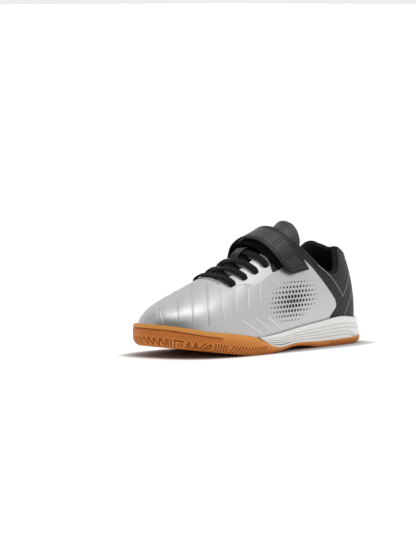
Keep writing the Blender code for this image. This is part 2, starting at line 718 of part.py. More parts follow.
def eyestay(side):
    """Return the eyestay of one side, along the throat; side is 1 outside and -1 inside."""
    low = table_curve(EYESTAY_LOW, EYESTAY_LOW_COLUMNS, "station", "share")
    stations = np.linspace(EYESTAY_LOW["rear"][0], EYESTAY_LOW["nose"][0], 11)
    return panel(side * stations, low(stations), LAST.edge(stations), 5)


def heel_panel():
    """Return the panel round the heel, from the sole's rim up to the collar."""
    low = table_curve(HEEL_PANEL_LOW, HEEL_PANEL_LOW_COLUMNS, "station", "share")
    first = HEEL_PANEL_LOW["sole"][0]
    last = HEEL_PANEL_LOW["front"][0]
    shared = spaced(*SIDE_STRETCHES)
    side = np.append(shared[shared < last - 0.1], last)
    chain = np.concatenate([-side[:0:-1], side])
    above_rim = LAST.share_at(chain, LAST.level("rim", chain) + HEEL_PANEL_ABOVE_RIM)
    bottom = np.where(np.abs(chain) < first, above_rim, np.maximum(above_rim, low(np.abs(chain))))
    return panel(chain, bottom, LAST.edge(chain) - HEEL_PANEL_BELOW_EDGE, 6)


def tube(mesh, path, across, normals, width, thickness):
    """Add a flat round cord along a path, closed at both ends."""
    turns = np.linspace(0, 2 * np.pi, LACE_SIDES, endpoint=False)
    rings = []
    for centre, side, up in zip(path, across, normals):
        ring = [centre + side * (width / 2 * np.cos(turn)) + up * (thickness / 2 * np.sin(turn))
                for turn in turns]
        rings.append(mesh.add(np.array(ring)))
    for first, second in zip(rings, rings[1:]):
        mesh.strip(first, second, closed=True)
    mesh.faces.append([int(corner) for corner in reversed(rings[0])])
    mesh.faces.append([int(corner) for corner in rings[-1]])


def strand(start, end, lifts):
    """Return a lace strand across the throat between two places (q, x), at three heights."""
    mesh = Mesh()
    run = np.linspace(0, 1, 11)
    q = start[0] + run * (end[0] - start[0])
    x = start[1] + run * (end[1] - start[1])
    height = Smooth((0.0, 0.5, 1.0), lifts)(run)
    path = LAST.over(q, x, height)
    normals = LAST.over(q, x, height + 1) - path
    along = np.gradient(path, axis=0)
    across = np.cross(normals, along)
    across = across / np.linalg.norm(across, axis=1, keepdims=True)
    tube(mesh, path, across, normals, LACE_WIDTH, LACE_THICKNESS)
    return mesh


def lace_crossing(row):
    """Return the two strands that rise to a pair of eyelets and cross on the way."""
    x, share = EYELETS[row]
    x_before = EYELETS[row - 1][0] - LACE_UNDER_BACK
    lifts = (LACE_OVER_EYESTAY, LACE_AT_CROSSING, LACE_UNDER_END)
    under = 1 - LACE_UNDER_SHARE
    rising = strand((1 - share, x), (-under, x_before), lifts)
    falling = strand((share - 1, x), (under, x_before), lifts)
    return rising, falling


def lace_bar():
    """Return the straight lace across the first pair of eyelets."""
    x, share = EYELETS[0]
    lifts = (LACE_OVER_EYESTAY, LACE_AT_CROSSING, LACE_OVER_EYESTAY)
    return strand((1 - share, x), (share - 1, x), lifts)


def lace_keeper():
    """Return the small band on the tongue that the laces run under."""
    half = KEEPER_WIDTH / 2
    x = column(KEEPER, KEEPER_COLUMNS, "x")
    path = LAST.over(0.0, x, column(KEEPER, KEEPER_COLUMNS, "offset"))
    along = np.gradient(path, axis=0)
    along = along / np.linalg.norm(along, axis=1, keepdims=True)
    side = np.array([0.0, 1.0, 0.0])
    out = np.cross(along, side)
    out = out / np.linalg.norm(out, axis=1, keepdims=True)
    mesh = Mesh()
    face = np.stack([path + side * half + out * KEEPER_THICKNESS / 2,
                     path - side * half + out * KEEPER_THICKNESS / 2])
    back = np.stack([path + side * half - out * KEEPER_THICKNESS / 2,
                     path - side * half - out * KEEPER_THICKNESS / 2])
    mesh.slab(mesh.add(face), mesh.add(back))
    return mesh


def strap():
    """Return the folded strap: a root layer, a fold round the loop's bar, and the face layer."""
    curves = {name: table_curve(STRAP, STRAP_COLUMNS, "q", name) for name in STRAP_COLUMNS[1:]}
    free_end = STRAP["free_end"][0]
    breadth = np.linspace(0, 1, 4)

    def across(name, q, share):
        rear = curves["rear_" + name](q)
        return rear + share * (curves["front_" + name](q) - rear)

    def sheet(q, drop, held=None):
        held = q if held is None else held
        places = []
        for share in breadth:
            slant = 1 + share * (STRAP_FRONT_Q - 1) * np.clip(q / free_end, 0, 1)
            places.append(LAST.over(q * slant, across("x", held, share), across("lift", held, share) - drop))
        return np.array(places)

    opening = LOOP_THICKNESS + 2 * STRAP_LAYER_GAP
    q_root = np.linspace(STRAP_ROOT_Q, STRAP_FOLD_Q, 17)
    q_face = np.linspace(STRAP_FOLD_Q, free_end, 19)
    parting = Smooth((STRAP_FOLD_Q, *STRAP_PARTING_Q, free_end),
                     (opening, opening, STRAP_LAYER_GAP, STRAP_LAYER_GAP))
    root_top = sheet(q_root, STRAP_LAYER + parting(q_root))
    root_bottom = sheet(q_root, 2 * STRAP_LAYER + parting(q_root))
    face_bottom = sheet(q_face, np.full_like(q_face, STRAP_LAYER))
    face_top = sheet(q_face, np.zeros_like(q_face))

    # The fold keeps the breadth and lift of the strap at the bar
    turn = np.linspace(0, np.pi, STRAP_FOLD_STEPS + 2)[1:-1]
    middle = STRAP_LAYER + opening / 2
    q_fold = STRAP_FOLD_Q - STRAP_FOLD_BULGE * np.sin(turn)
    q_inside = STRAP_FOLD_Q - STRAP_FOLD_INSIDE * np.sin(turn)
    at_bar = np.full_like(turn, STRAP_FOLD_Q)
    outside_fold = sheet(q_fold, middle + middle * np.cos(turn), at_bar)
    inside_fold = sheet(q_inside, middle + opening / 2 * np.cos(turn), at_bar)
    outside = np.concatenate([root_bottom, outside_fold, face_top], axis=1)
    inside = np.concatenate([root_top, inside_fold, face_bottom], axis=1)
    mesh = Mesh()
    mesh.slab(mesh.add(outside), mesh.add(inside))
    return mesh


def strap_loop():
    """Return the frame on the inner side that holds the strap's fold."""
    turns = np.linspace(0, 2 * np.pi, LOOP_STEPS, endpoint=False)
    power = 2 / LOOP_SQUARENESS
    along = np.sign(np.cos(turns)) * np.abs(np.cos(turns)) ** power
    up = np.sign(np.sin(turns)) * np.abs(np.sin(turns)) ** power
    mesh = Mesh()
    rings = []
    tilt = LOOP_LIFT[0] + (LOOP_LIFT[1] - LOOP_LIFT[0]) * (1 + up) / 2
    for shrink, height in ((0, 0), (0, LOOP_THICKNESS), (1, LOOP_THICKNESS), (1, 0)):
        station = LOOP_CENTRE[0] + along * (LOOP_HALF[0] - shrink * LOOP_BAR[0])
        share = LOOP_CENTRE[1] + up * (LOOP_HALF[1] - shrink * LOOP_BAR[1])
        rings.append(mesh.add(LAST.skin(-station, share, tilt + height)))
    for first, second in zip(rings, rings[1:] + rings[:1]):
        mesh.strip(first, second, closed=True)
    return mesh


def join(shape, other):
    """Fuse another closed shape into an object and remove it."""
    fuse = shape.modifiers.new("join", "BOOLEAN")
    fuse.operation = "UNION"
    fuse.object = other
    other.hide_render = True
    other.display_type = "WIRE"


def main():
    """Build every piece under one root, centred over the floor."""
    for item in list(bpy.data.objects):
        bpy.data.objects.remove(item)
    sole = outsole()
    box = np.array(sole.points)
    centre = (box.min(0) + box.max(0)) / 2 * MM
    root = bpy.data.objects.new("shoe_root", None)
    bpy.context.scene.collection.objects.link(root)
    root.location = (-centre[0], -centre[1], 0.0)

    add_object("outsole", sole, "gum", root)
    add_object("midsole", midsole(), "foam", root)
    add_object("upper", upper(), "silver", root)
    add_object("insole", insole(), "insole_cloth", root)
    add_object("tongue", tongue(), "black_cloth", root)
    add_object("eyestay_outer", eyestay(1), "white_leather", root)
    add_object("eyestay_inner", eyestay(-1), "white_leather", root)
    add_object("heel_panel", heel_panel(), "black_panel", root)
    add_object("lace_bar_1", lace_bar(), "black_cloth", root)
    for row in range(1, len(EYELETS)):
        rising, falling = lace_crossing(row)
        crossing = add_object(f"lace_cross_{row + 1}", rising, "black_cloth", root)
        join(crossing, add_object(f"lace_partner_{row + 1}", falling, "black_cloth", root))
    add_object("lace_keeper", lace_keeper(), "black_panel", root)
    add_object("strap", strap(), "black_strap", root)
    add_object("strap_loop", strap_loop(), "grey_plastic", root)


main()
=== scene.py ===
"""Looks of a child's indoor soccer shoe for the left foot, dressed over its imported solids.

Lengths in the tables are millimetres.  A place on the last is a pair (s, t): s is the station round
the feather line, 0 at the heel and 12 at the toe, positive on the outer side and negative on the
inner side, and t runs up the section from the feather line (0) to the ridge of the foot (1).
Finished pieces are in metres, in the frame of the solids that they replace.
"""
from __future__ import annotations

import logging
import math
from dataclasses import dataclass, field
from enum import Enum
from functools import partial
from typing import Callable, NamedTuple, Sequence

import bpy
import numpy as np
from mathutils import Matrix

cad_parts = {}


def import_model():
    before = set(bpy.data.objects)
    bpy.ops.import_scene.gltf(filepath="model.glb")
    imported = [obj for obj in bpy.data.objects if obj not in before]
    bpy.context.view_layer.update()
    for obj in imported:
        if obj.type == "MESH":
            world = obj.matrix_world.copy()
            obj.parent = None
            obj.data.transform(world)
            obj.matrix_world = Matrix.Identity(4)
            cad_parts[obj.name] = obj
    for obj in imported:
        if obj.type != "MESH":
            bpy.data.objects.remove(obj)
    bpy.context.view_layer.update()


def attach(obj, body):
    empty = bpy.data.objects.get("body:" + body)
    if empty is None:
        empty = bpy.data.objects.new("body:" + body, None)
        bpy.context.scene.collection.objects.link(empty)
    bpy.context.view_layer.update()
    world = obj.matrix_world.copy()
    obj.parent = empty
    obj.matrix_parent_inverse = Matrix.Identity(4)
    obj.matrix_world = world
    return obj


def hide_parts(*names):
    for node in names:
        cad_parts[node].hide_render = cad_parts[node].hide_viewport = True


log = logging.getLogger("shoe")
Array = np.ndarray
Piece = bpy.types.Object
Colour = tuple[float, float, float]
Place = tuple[float, float, float]
Pair = tuple[float, float]
Grid = tuple[int, int]
Line = tuple[Pair, ...]
Surface = Callable[[Array, Array], Array]
Marks = dict[str, Array]
MarkedSurface = Callable[[Array, Array, Marks], Array]

MM = 0.001
FRAME_ORIGIN = np.array([109.25, 0.148, 0.0])     # the frame's origin in the tables' millimetres
BODY = "root"
GAP = 0.3
OVERLAY = 0.9
LAST_STATION = 12
THROAT_BASE = 7.5
BISECTIONS = 36
TOUCH = 1e-6                                      # metres within which vertices merge
PANEL_TOUCH = 2e-6                                # the same where separate sheets meet
TINY = 1e-6
FINE_DETAIL = 3.0
SOFT_BUMP = 0.6
CORD_GIRTH = 3.2                                  # a cord's map, over its half width and half thickness


class Side(Enum):
    """A side of the foot, as the sign of its stations."""

    OUTER = 1
    INNER = -1

    @property
    def label(self) -> str:
        """Return the side's name for pieces."""
        return self.name.lower()

    def heelwards(self, u: Array) -> Array:
        """Return shares of the way to the heel along a sheet, whose u turns round on the inner side."""
        return u if self is Side.OUTER else 1 - u


class Slot(Enum):
    """The record's material slots."""

    SILVER = "silver"
    WHITE = "white_leather"
    PANEL = "black_panel"
    CLOTH = "black_cloth"
    STRAP = "black_strap"
    GUM = "gum"
    FOAM = "foam"
    PLASTIC = "grey_plastic"
    INSOLE = "insole_cloth"


class Section(NamedTuple):
    """One section of the last, in shares of its driving sizes, with the bulge of its side."""

    foot_x: float
    outer: float
    inner: float
    ridge_x: float
    ridge_y: float
    ridge_z: float
    rise: float
    lean: float
    reach: float


class SoleRow(NamedTuple):
    """Heights of the sole above the floor at one station, and how far it stands out."""

    station: float
    floor: float
    gum_top: float
    bed: float
    rim: float
    margin: float
    rim_margin: float


class EdgeRow(NamedTuple):
    """Share of the section at which an edge lies at one station."""

    station: float
    share: float


class TongueRow(NamedTuple):
    """One section of the tongue, along the foot."""

    x: float
    side_share: float
    top_offset: float
    thickness: float


class StrapRow(NamedTuple):
    """One section of the strap: q across the foot, its two edges and their height over the last."""

    q: float
    rear_x: float
    front_x: float
    rear_lift: float
    front_lift: float


class Stroke(NamedTuple):
    """A cut in the sole's side: its way round from the toe and share of the tread's height, twice."""

    start_way: float
    start_rise: float
    end_way: float
    end_rise: float


class Screen(NamedTuple):
    """A dark screen in the light: the way to it, the cosines at its edge and core, and its loss."""

    toward: Place
    edge: float
    core: float
    loss: float


class StrokeRun(NamedTuple):
    """A row of like cuts: the first, the way from one to the next, and how many there are."""

    first: Stroke
    pitch: float
    count: int

    def strokes(self) -> list[Stroke]:
        """Return every cut of the row."""
        way, rise, end_way, end_rise = self.first
        steps = [self.pitch * k for k in range(self.count)]
        return [Stroke(way + step, rise, end_way + step, end_rise) for step in steps]


SECTIONS = (
    Section(0.000, 0.000, 0.000, 0.164, 0.000, 1.284, 0.40, 0.08, 0.69),
    Section(0.021, 0.195, 0.195, 0.169, 0.000, 1.284, 0.40, 0.08, 0.69),
    Section(0.068, 0.318, 0.312, 0.187, 0.000, 1.296, 0.42, 0.08, 0.70),
    Section(0.164, 0.377, 0.357, 0.228, -0.010, 1.309, 0.45, 0.10, 0.79),
    Section(0.283, 0.403, 0.344, 0.274, -0.040, 1.296, 0.50, 0.12, 0.75),
    Section(0.420, 0.442, 0.331, 0.356, -0.078, 1.205, 0.50, 0.12, 0.60),
    Section(0.548, 0.494, 0.383, 0.484, -0.104, 1.020, 0.48, 0.12, 0.54),
    Section(0.667, 0.526, 0.474, 0.621, -0.110, 0.831, 0.48, 0.12, 0.54),
    Section(0.772, 0.500, 0.519, 0.721, -0.100, 0.720, 0.50, 0.12, 0.60),
    Section(0.863, 0.416, 0.494, 0.792, -0.090, 0.646, 0.52, 0.185, 0.665),
    Section(0.932, 0.286, 0.403, 0.831, -0.084, 0.607, 0.54, 0.25, 0.71),
    Section(0.977, 0.130, 0.260, 0.850, -0.080, 0.586, 0.57, 0.315, 0.75),
    Section(1.000, -0.065, 0.065, 0.857, -0.078, 0.579, 0.57, 0.35, 0.77),
)
SOLE = (
    SoleRow(0.0, 1.8, 6.9, 15.0, 20.4, 6.2, 4.0),
    SoleRow(1.0, 1.4, 6.3, 15.0, 20.6, 6.0, 3.8),
    SoleRow(2.0, 0.5, 5.9, 15.0, 21.6, 5.4, 3.4),
    SoleRow(3.0, 0.0, 5.3, 14.5, 23.6, 4.2, 3.1),
    SoleRow(4.0, 0.3, 5.0, 13.0, 21.2, 3.3, 3.1),
    SoleRow(4.5, 2.3, 5.6, 12.0, 19.8, 3.1, 3.0),
    SoleRow(5.0, 3.2, 6.0, 11.0, 18.2, 3.0, 3.0),
    SoleRow(5.8, 0.8, 4.2, 9.0, 15.8, 3.2, 3.2),
    SoleRow(6.2, 0.0, 6.2, 8.5, 14.9, 3.3, 3.3),
    SoleRow(6.6, 0.0, 11.0, 8.2, 14.3, 3.3, 3.3),
    SoleRow(7.0, 0.0, 15.0, 8.0, 15.0, 3.4, 3.4),
    SoleRow(8.0, 2.5, 18.9, 8.5, 18.9, 3.6, 3.6),
    SoleRow(9.0, 5.2, 21.5, 10.5, 21.5, 3.9, 3.9),
    SoleRow(10.0, 7.2, 24.7, 13.0, 24.7, 4.6, 4.6),
    SoleRow(11.0, 8.5, 26.7, 15.5, 26.7, 5.3, 5.3),
    SoleRow(12.0, 9.6, 27.5, 16.5, 27.5, 5.7, 5.7),
)
THROAT_EDGE = (
    EdgeRow(4.53, 0.628), EdgeRow(4.76, 0.685), EdgeRow(5.00, 0.735), EdgeRow(5.50, 0.760),
    EdgeRow(12.0, 0.760),
)
OUTER_EDGE = (
    EdgeRow(0.0, 0.512), EdgeRow(0.40, 0.512), EdgeRow(0.80, 0.515), EdgeRow(1.20, 0.522),
    EdgeRow(1.60, 0.532), EdgeRow(2.00, 0.545), EdgeRow(2.25, 0.556), EdgeRow(2.45, 0.555),
    EdgeRow(2.55, 0.535), EdgeRow(2.63, 0.496), EdgeRow(2.76, 0.428), EdgeRow(2.88, 0.386),
    EdgeRow(3.05, 0.361), EdgeRow(3.28, 0.353), EdgeRow(3.52, 0.363), EdgeRow(3.71, 0.388),
    EdgeRow(3.98, 0.445), EdgeRow(4.26, 0.529), *THROAT_EDGE,
)
INNER_EDGE = (
    EdgeRow(0.0, 0.512), EdgeRow(0.40, 0.520), EdgeRow(0.74, 0.552), EdgeRow(1.13, 0.591),
    EdgeRow(1.57, 0.605), EdgeRow(1.87, 0.600), EdgeRow(2.07, 0.591), EdgeRow(2.30, 0.573),
    EdgeRow(2.60, 0.520), EdgeRow(2.90, 0.460), EdgeRow(3.30, 0.420), EdgeRow(3.60, 0.425),
    EdgeRow(3.98, 0.470), EdgeRow(4.26, 0.540), *THROAT_EDGE,
)


def aligned(*values: Array | float) -> list[Array]:
    """Return values as arrays of one shape."""
    return np.broadcast_arrays(*(np.asarray(value, float) for value in values))


def spans(v: Array, *counts: int) -> list[Array]:
    """Return the share gone, 0 to 1, of each of the spans of rows that a sheet's v runs through in turn."""
    row = np.rint(v * sum(counts))
    starts = np.cumsum((0, *counts))
    return [np.clip((row - start) / count, 0, 1) for start, count in zip(starts, counts)]


def to_frame(points: Array) -> Array:
    """Return table points as metres in the frame."""
    return (points - FRAME_ORIGIN) * MM


def unit(vectors: Array) -> Array:
    """Return vectors at length one."""
    return vectors / np.linalg.norm(vectors, axis=-1, keepdims=True)


def ease(value: Array, start: float, end: float) -> Array:
    """Return a smooth step from 0 at start to 1 at end."""
    h = np.clip((np.asarray(value, float) - start) / (end - start), 0, 1)
    return h * h * (3 - 2 * h)


def bell(value: Array, width: float) -> Array:
    """Return a soft hump of height one round zero."""
    return np.exp(-(np.asarray(value, float) / width) ** 2)


def mix(start: Array, end: Array, share: Array) -> Array:
    """Return values a share of the way from a start to an end."""
    return start + (end - start) * share


def hermite(h: Array, start: Array, end: Array, leave: Array, arrive: Array) -> Array:
    """Return a cubic at shares h of the way between two values, with a slope at each."""
    return ((1 + 2 * h) * (1 - h) ** 2 * start + h * (1 - h) ** 2 * leave
            + h * h * (3 - 2 * h) * end + h * h * (h - 1) * arrive)


def bisect(short: Callable[[Array], Array], low: Array, high: Array) -> Array:
    """Return the places between low and high where a test stops being true."""
    for _ in range(BISECTIONS):
        middle = (low + high) / 2
        below = short(middle)
        low, high = np.where(below, middle, low), np.where(below, high, middle)
    return low


def flow(places: Sequence[Sequence[float]], share: Array) -> Array:
    """Return points on a soft curve that follows listed points and meets both ends.

    Args:
        places: the points, of any number of columns.
        share: shares of the way along the curve.

    Returns:
        One row for each share.
    """
    table = np.array([places[0], places[0], *places, places[-1], places[-1]], float)
    spans = len(table) - 3
    at = np.clip(share, 0, 1) * spans
    k = np.minimum(at.astype(int), spans - 1)
    h = (at - k)[:, None]
    return ((1 - h) ** 3 * table[k] + (3 * h ** 3 - 6 * h * h + 4) * table[k + 1]
            + (1 + 3 * h + 3 * h * h - 3 * h ** 3) * table[k + 2] + h ** 3 * table[k + 3]) / 6


def even_turn(u: Array) -> Array:
    """Return angles round a flat section that fall evenly on its two faces."""
    return 2 * np.pi * u + 0.35 * np.sin(4 * np.pi * u)


def squircle(angle: Array, squareness: float) -> tuple[Array, Array]:
    """Return the two coordinates, -1 to 1, of a rounded rectangle at angles round it."""
    power = 2 / squareness
    cosine, sine = np.cos(angle), np.sin(angle)
    return np.sign(cosine) * np.abs(cosine) ** power, np.sign(sine) * np.abs(sine) ** power


class Smooth:
    """A smooth curve through a table's rows that never overshoots them."""

    def __init__(self, places: Sequence[float], values: Sequence[float]) -> None:
        """Sort the rows and work out a slope at each.

        Args:
            places: where the rows lie.
            values: what they hold.
        """
        order = np.argsort(places)
        self.places = np.asarray(places, float)[order]
        self.values = np.asarray(values, float)[order]
        rise = np.diff(self.values) / np.diff(self.places)
        self.slope = np.zeros(len(self.places))
        self.slope[-1] = rise[-1]
        for k in range(1, len(rise)):
            if rise[k - 1] * rise[k] > 0:
                self.slope[k] = 2 * rise[k - 1] * rise[k] / (rise[k - 1] + rise[k])

    @classmethod
    def table(cls, rows: Sequence[NamedTuple]) -> dict[str, Smooth]:
        """Return the curve of each named column of a table against its first."""
        places, *columns = zip(*rows)
        return {name: cls(places, values) for name, values in zip(rows[0]._fields[1:], columns)}

    def __call__(self, place: Array) -> Array:
        """Return the curve's value at places, held level past its ends."""
        place = np.clip(np.asarray(place, float), self.places[0], self.places[-1])
        k = np.clip(np.searchsorted(self.places, place, side="right") - 1, 0, len(self.places) - 2)
        run = self.places[k + 1] - self.places[k]
        h = (place - self.places[k]) / run
        return hermite(h, self.values[k], self.values[k + 1], run * self.slope[k], run * self.slope[k + 1])


class RoundSpline:
    """A closed cubic spline with one knot at each station of the outer and inner side."""

    def __init__(self, outer: Array, inner: Array) -> None:
        """Solve for the slopes.

        Args:
            outer: values at the stations of the outer side, heel to toe.
            inner: values at the stations of the inner side, heel to toe.
        """
        self.values = np.concatenate([outer, inner[-2:0:-1]])
        ring = np.eye(len(self.values))
        system = 4 * ring + np.roll(ring, 1, 0) + np.roll(ring, -1, 0)
        self.slope = np.linalg.solve(system, 3 * (np.roll(self.values, -1) - np.roll(self.values, 1)))

    def __call__(self, station: Array) -> Array:
        """Return the spline's value at stations, negative on the inner side."""
        count = len(self.values)
        station = np.asarray(station, float) % count
        k = np.floor(station).astype(int) % count
        n = (k + 1) % count
        h = station - np.floor(station)
        return hermite(h, self.values[k], self.values[n], self.slope[k], self.slope[n])


@dataclass
class Last:
    """The foot form that every soft piece follows."""

    length: float = 219.0
    ball_width: float = 77.0
    instep_height: float = 81.0
    edge_ease: float = 0.12
    edge_samples: int = 7
    ridge_step: float = 0.02
    ridge_slopes: Pair = (-0.8, 0.3)
    highest_rim: float = 0.6
    curves: dict[str, RoundSpline] = field(init=False)
    sole: dict[str, Smooth] = field(init=False)
    outer_edge: Smooth = field(init=False)
    inner_edge: Smooth = field(init=False)

    def __post_init__(self) -> None:
        """Turn the tables into curves."""
        columns = dict(zip(Section._fields, np.array(SECTIONS).T))
        sizes = {"foot_x": self.length, "ridge_x": self.length, "ridge_y": self.ball_width,
                 "ridge_z": self.instep_height, "rise": 1.0, "lean": 1.0, "reach": 1.0}
        self.curves = {name: RoundSpline(size * columns[name], size * columns[name])
                       for name, size in sizes.items()}
        self.curves["foot_y"] = RoundSpline(self.ball_width * columns["outer"],
                                            -self.ball_width * columns["inner"])
        self.sole = Smooth.table(SOLE)
        self.outer_edge = Smooth.table(OUTER_EDGE)["share"]
        self.inner_edge = Smooth.table(INNER_EDGE)["share"]

    def level(self, name: str, station: Array) -> Array:
        """Return a column of the sole's table at stations on either side."""
        return self.sole[name](np.abs(station))

    def edge(self, station: Array) -> Array:
        """Return the share of the section at which the upper's edge lies, eased along its rows."""
        shifts = self.edge_ease * np.linspace(-1, 1, self.edge_samples)
        places = [np.asarray(station, float) + shift for shift in shifts]
        shares = [np.where(place < 0, self.inner_edge(-place), self.outer_edge(place)) for place in places]
        return np.mean(shares, axis=0)

    def ridge(self, station: Array) -> Array:
        """Return the ridge point of each section."""
        return np.stack([self.curves["ridge_" + axis](station) for axis in "xyz"], -1)

    def point(self, station: Array, share: Array) -> Array:
        """Return points of the last's surface.

        Args:
            station: stations, negative on the inner side.
            share: shares of the way from the feather line to the ridge.

        Returns:
            The points, in millimetres, in a last axis of three.
        """
        station, share = aligned(station, share)
        foot = np.stack([self.curves["foot_x"](station), self.curves["foot_y"](station),
                         self.level("bed", station)], -1)
        ridge = self.ridge(station)
        before, after = (self.ridge(np.clip(np.abs(station) + step, 0, LAST_STATION))
                         for step in (-self.ridge_step, self.ridge_step))
        run = after[..., 0] - before[..., 0]
        slope = (after[..., 2] - before[..., 2]) / np.where(np.abs(run) < TINY, TINY, run)
        slope = np.clip(slope, *self.ridge_slopes)[..., None]
        out = (foot - ridge)[..., :2]
        spread = np.linalg.norm(out, axis=-1, keepdims=True)
        out = out / spread
        height = ridge[..., 2:] - foot[..., 2:]
        upright = np.concatenate([self.curves["lean"](station)[..., None] * out, np.ones_like(height)], -1)
        low = foot + self.curves["rise"](station)[..., None] * height * upright
        over = np.concatenate([out, slope * out[..., :1]], -1)
        high = ridge + self.curves["reach"](station)[..., None] * spread * over
        t = share[..., None]
        u = 1 - t
        return u ** 3 * foot + 3 * u * u * t * low + 3 * u * t * t * high + t ** 3 * ridge

    def normal(self, station: Array, share: Array) -> Array:
        """Return the outward unit normals of the last's surface."""
        station, share = aligned(station, share)
        near_ridge = 0.985
        step = 0.01

        def slanted(place: Array) -> Array:
            """Return the normals of one side."""
            t = np.minimum(share, near_ridge)
            along = self.point(place + step, t) - self.point(place - step, t)
            up = self.point(place, t + step) - self.point(place, np.maximum(t - step, 0))
            return unit(np.cross(up, along))

        both = slanted(station) + np.where(share[..., None] > near_ridge, slanted(-station), 0)
        return unit(both)

    def skin(self, station: Array, share: Array, offset: Array) -> Array:
        """Return points at an offset from the last's surface, outwards if positive."""
        offset = np.asarray(offset, float)[..., None]
        return self.point(station, share) + self.normal(station, share) * offset

    def over(self, q: Array, x: Array, offset: Array) -> Array:
        """Return points across the foot, found by their place along it.

        Args:
            q: place across the foot, + on the outer side, 0 on the ridge, - on the inner side.
            x: place along the foot.
            offset: height over the last.

        Returns:
            The points, in millimetres.
        """
        q, x = aligned(q, x)
        share = 1 - np.abs(q)
        station = bisect(lambda middle: self.point(middle, share)[..., 0] < x,
                         np.zeros_like(x), np.full_like(x, LAST_STATION))
        return self.skin(np.where(q < 0, -station, station), share, offset)

    def share_at(self, station: Array, height: Array) -> Array:
        """Return the share of the section at which it reaches a height."""
        station, height = aligned(station, height)
        return bisect(lambda middle: self.point(station, middle)[..., 2] < height,
                      np.zeros_like(station), np.full_like(station, self.highest_rim))

    def outline(self, station: Array, outset: Array, height: Array) -> Array:
        """Return points beside the feather line, outwards if the outset is positive."""
        step = 0.001
        x, y = self.curves["foot_x"], self.curves["foot_y"]
        along = unit(np.stack([x(station + step) - x(station - step),
                               y(station + step) - y(station - step)], -1))
        out = np.stack([-along[..., 1], along[..., 0]], -1)
        outset = np.broadcast_to(outset, np.shape(station))
        flat = np.stack([x(station), y(station)], -1) + out * outset[..., None]
        return np.concatenate([flat, np.broadcast_to(height, np.shape(station))[..., None]], -1)


LAST = Last()


class Wire:
    """A shader socket that Python operators extend with Math nodes."""

    def __init__(self, paint: Paint, socket: bpy.types.NodeSocket) -> None:
        """Wrap an output socket of a paint's tree."""
        self.paint = paint
        self.socket = socket

    def math(self, operation: str, *others: Wire | float) -> Wire:
        """Return a Math node's value on this socket and others."""
        values = dict(enumerate((self, *others)))
        return self.paint.node("ShaderNodeMath", {"operation": operation}, values)

    def __add__(self, other: Wire | float) -> Wire:
        """Return the sum."""
        return self.math("ADD", other)

    __radd__ = __add__

    def __sub__(self, other: Wire | float) -> Wire:
        """Return the difference."""
        return self.math("SUBTRACT", other)

    def __rsub__(self, other: float) -> Wire:
        """Return the difference from a number."""
        return self.paint.node("ShaderNodeMath", {"operation": "SUBTRACT"}, {0: other, 1: self})

    def __mul__(self, other: Wire | float) -> Wire:
        """Return the product."""
        return self.math("MULTIPLY", other)

    __rmul__ = __mul__

    def __truediv__(self, other: Wire | float) -> Wire:
        """Return the quotient."""
        return self.math("DIVIDE", other)

    def __pow__(self, other: float) -> Wire:
        """Return the power."""
        return self.math("POWER", other)

    def fraction(self) -> Wire:
        """Return what is left after whole numbers."""
        return self.math("FRACT")

    def away(self, middle: float) -> Wire:
        """Return the distance from a value."""
        return (self - middle).math("ABSOLUTE")

    def wave(self, period: float) -> Wire:
        """Return a sine of the given period."""
        return (self * (2 * math.pi / period)).math("SINE")

    def step(self, start: float, end: float) -> Wire:
        """Return a smooth step from 0 at start to 1 at end."""
        settings = {"interpolation_type": "SMOOTHSTEP"}
        sockets = {"Value": self, "From Min": start, "From Max": end}
        return self.paint.node("ShaderNodeMapRange", settings, sockets)


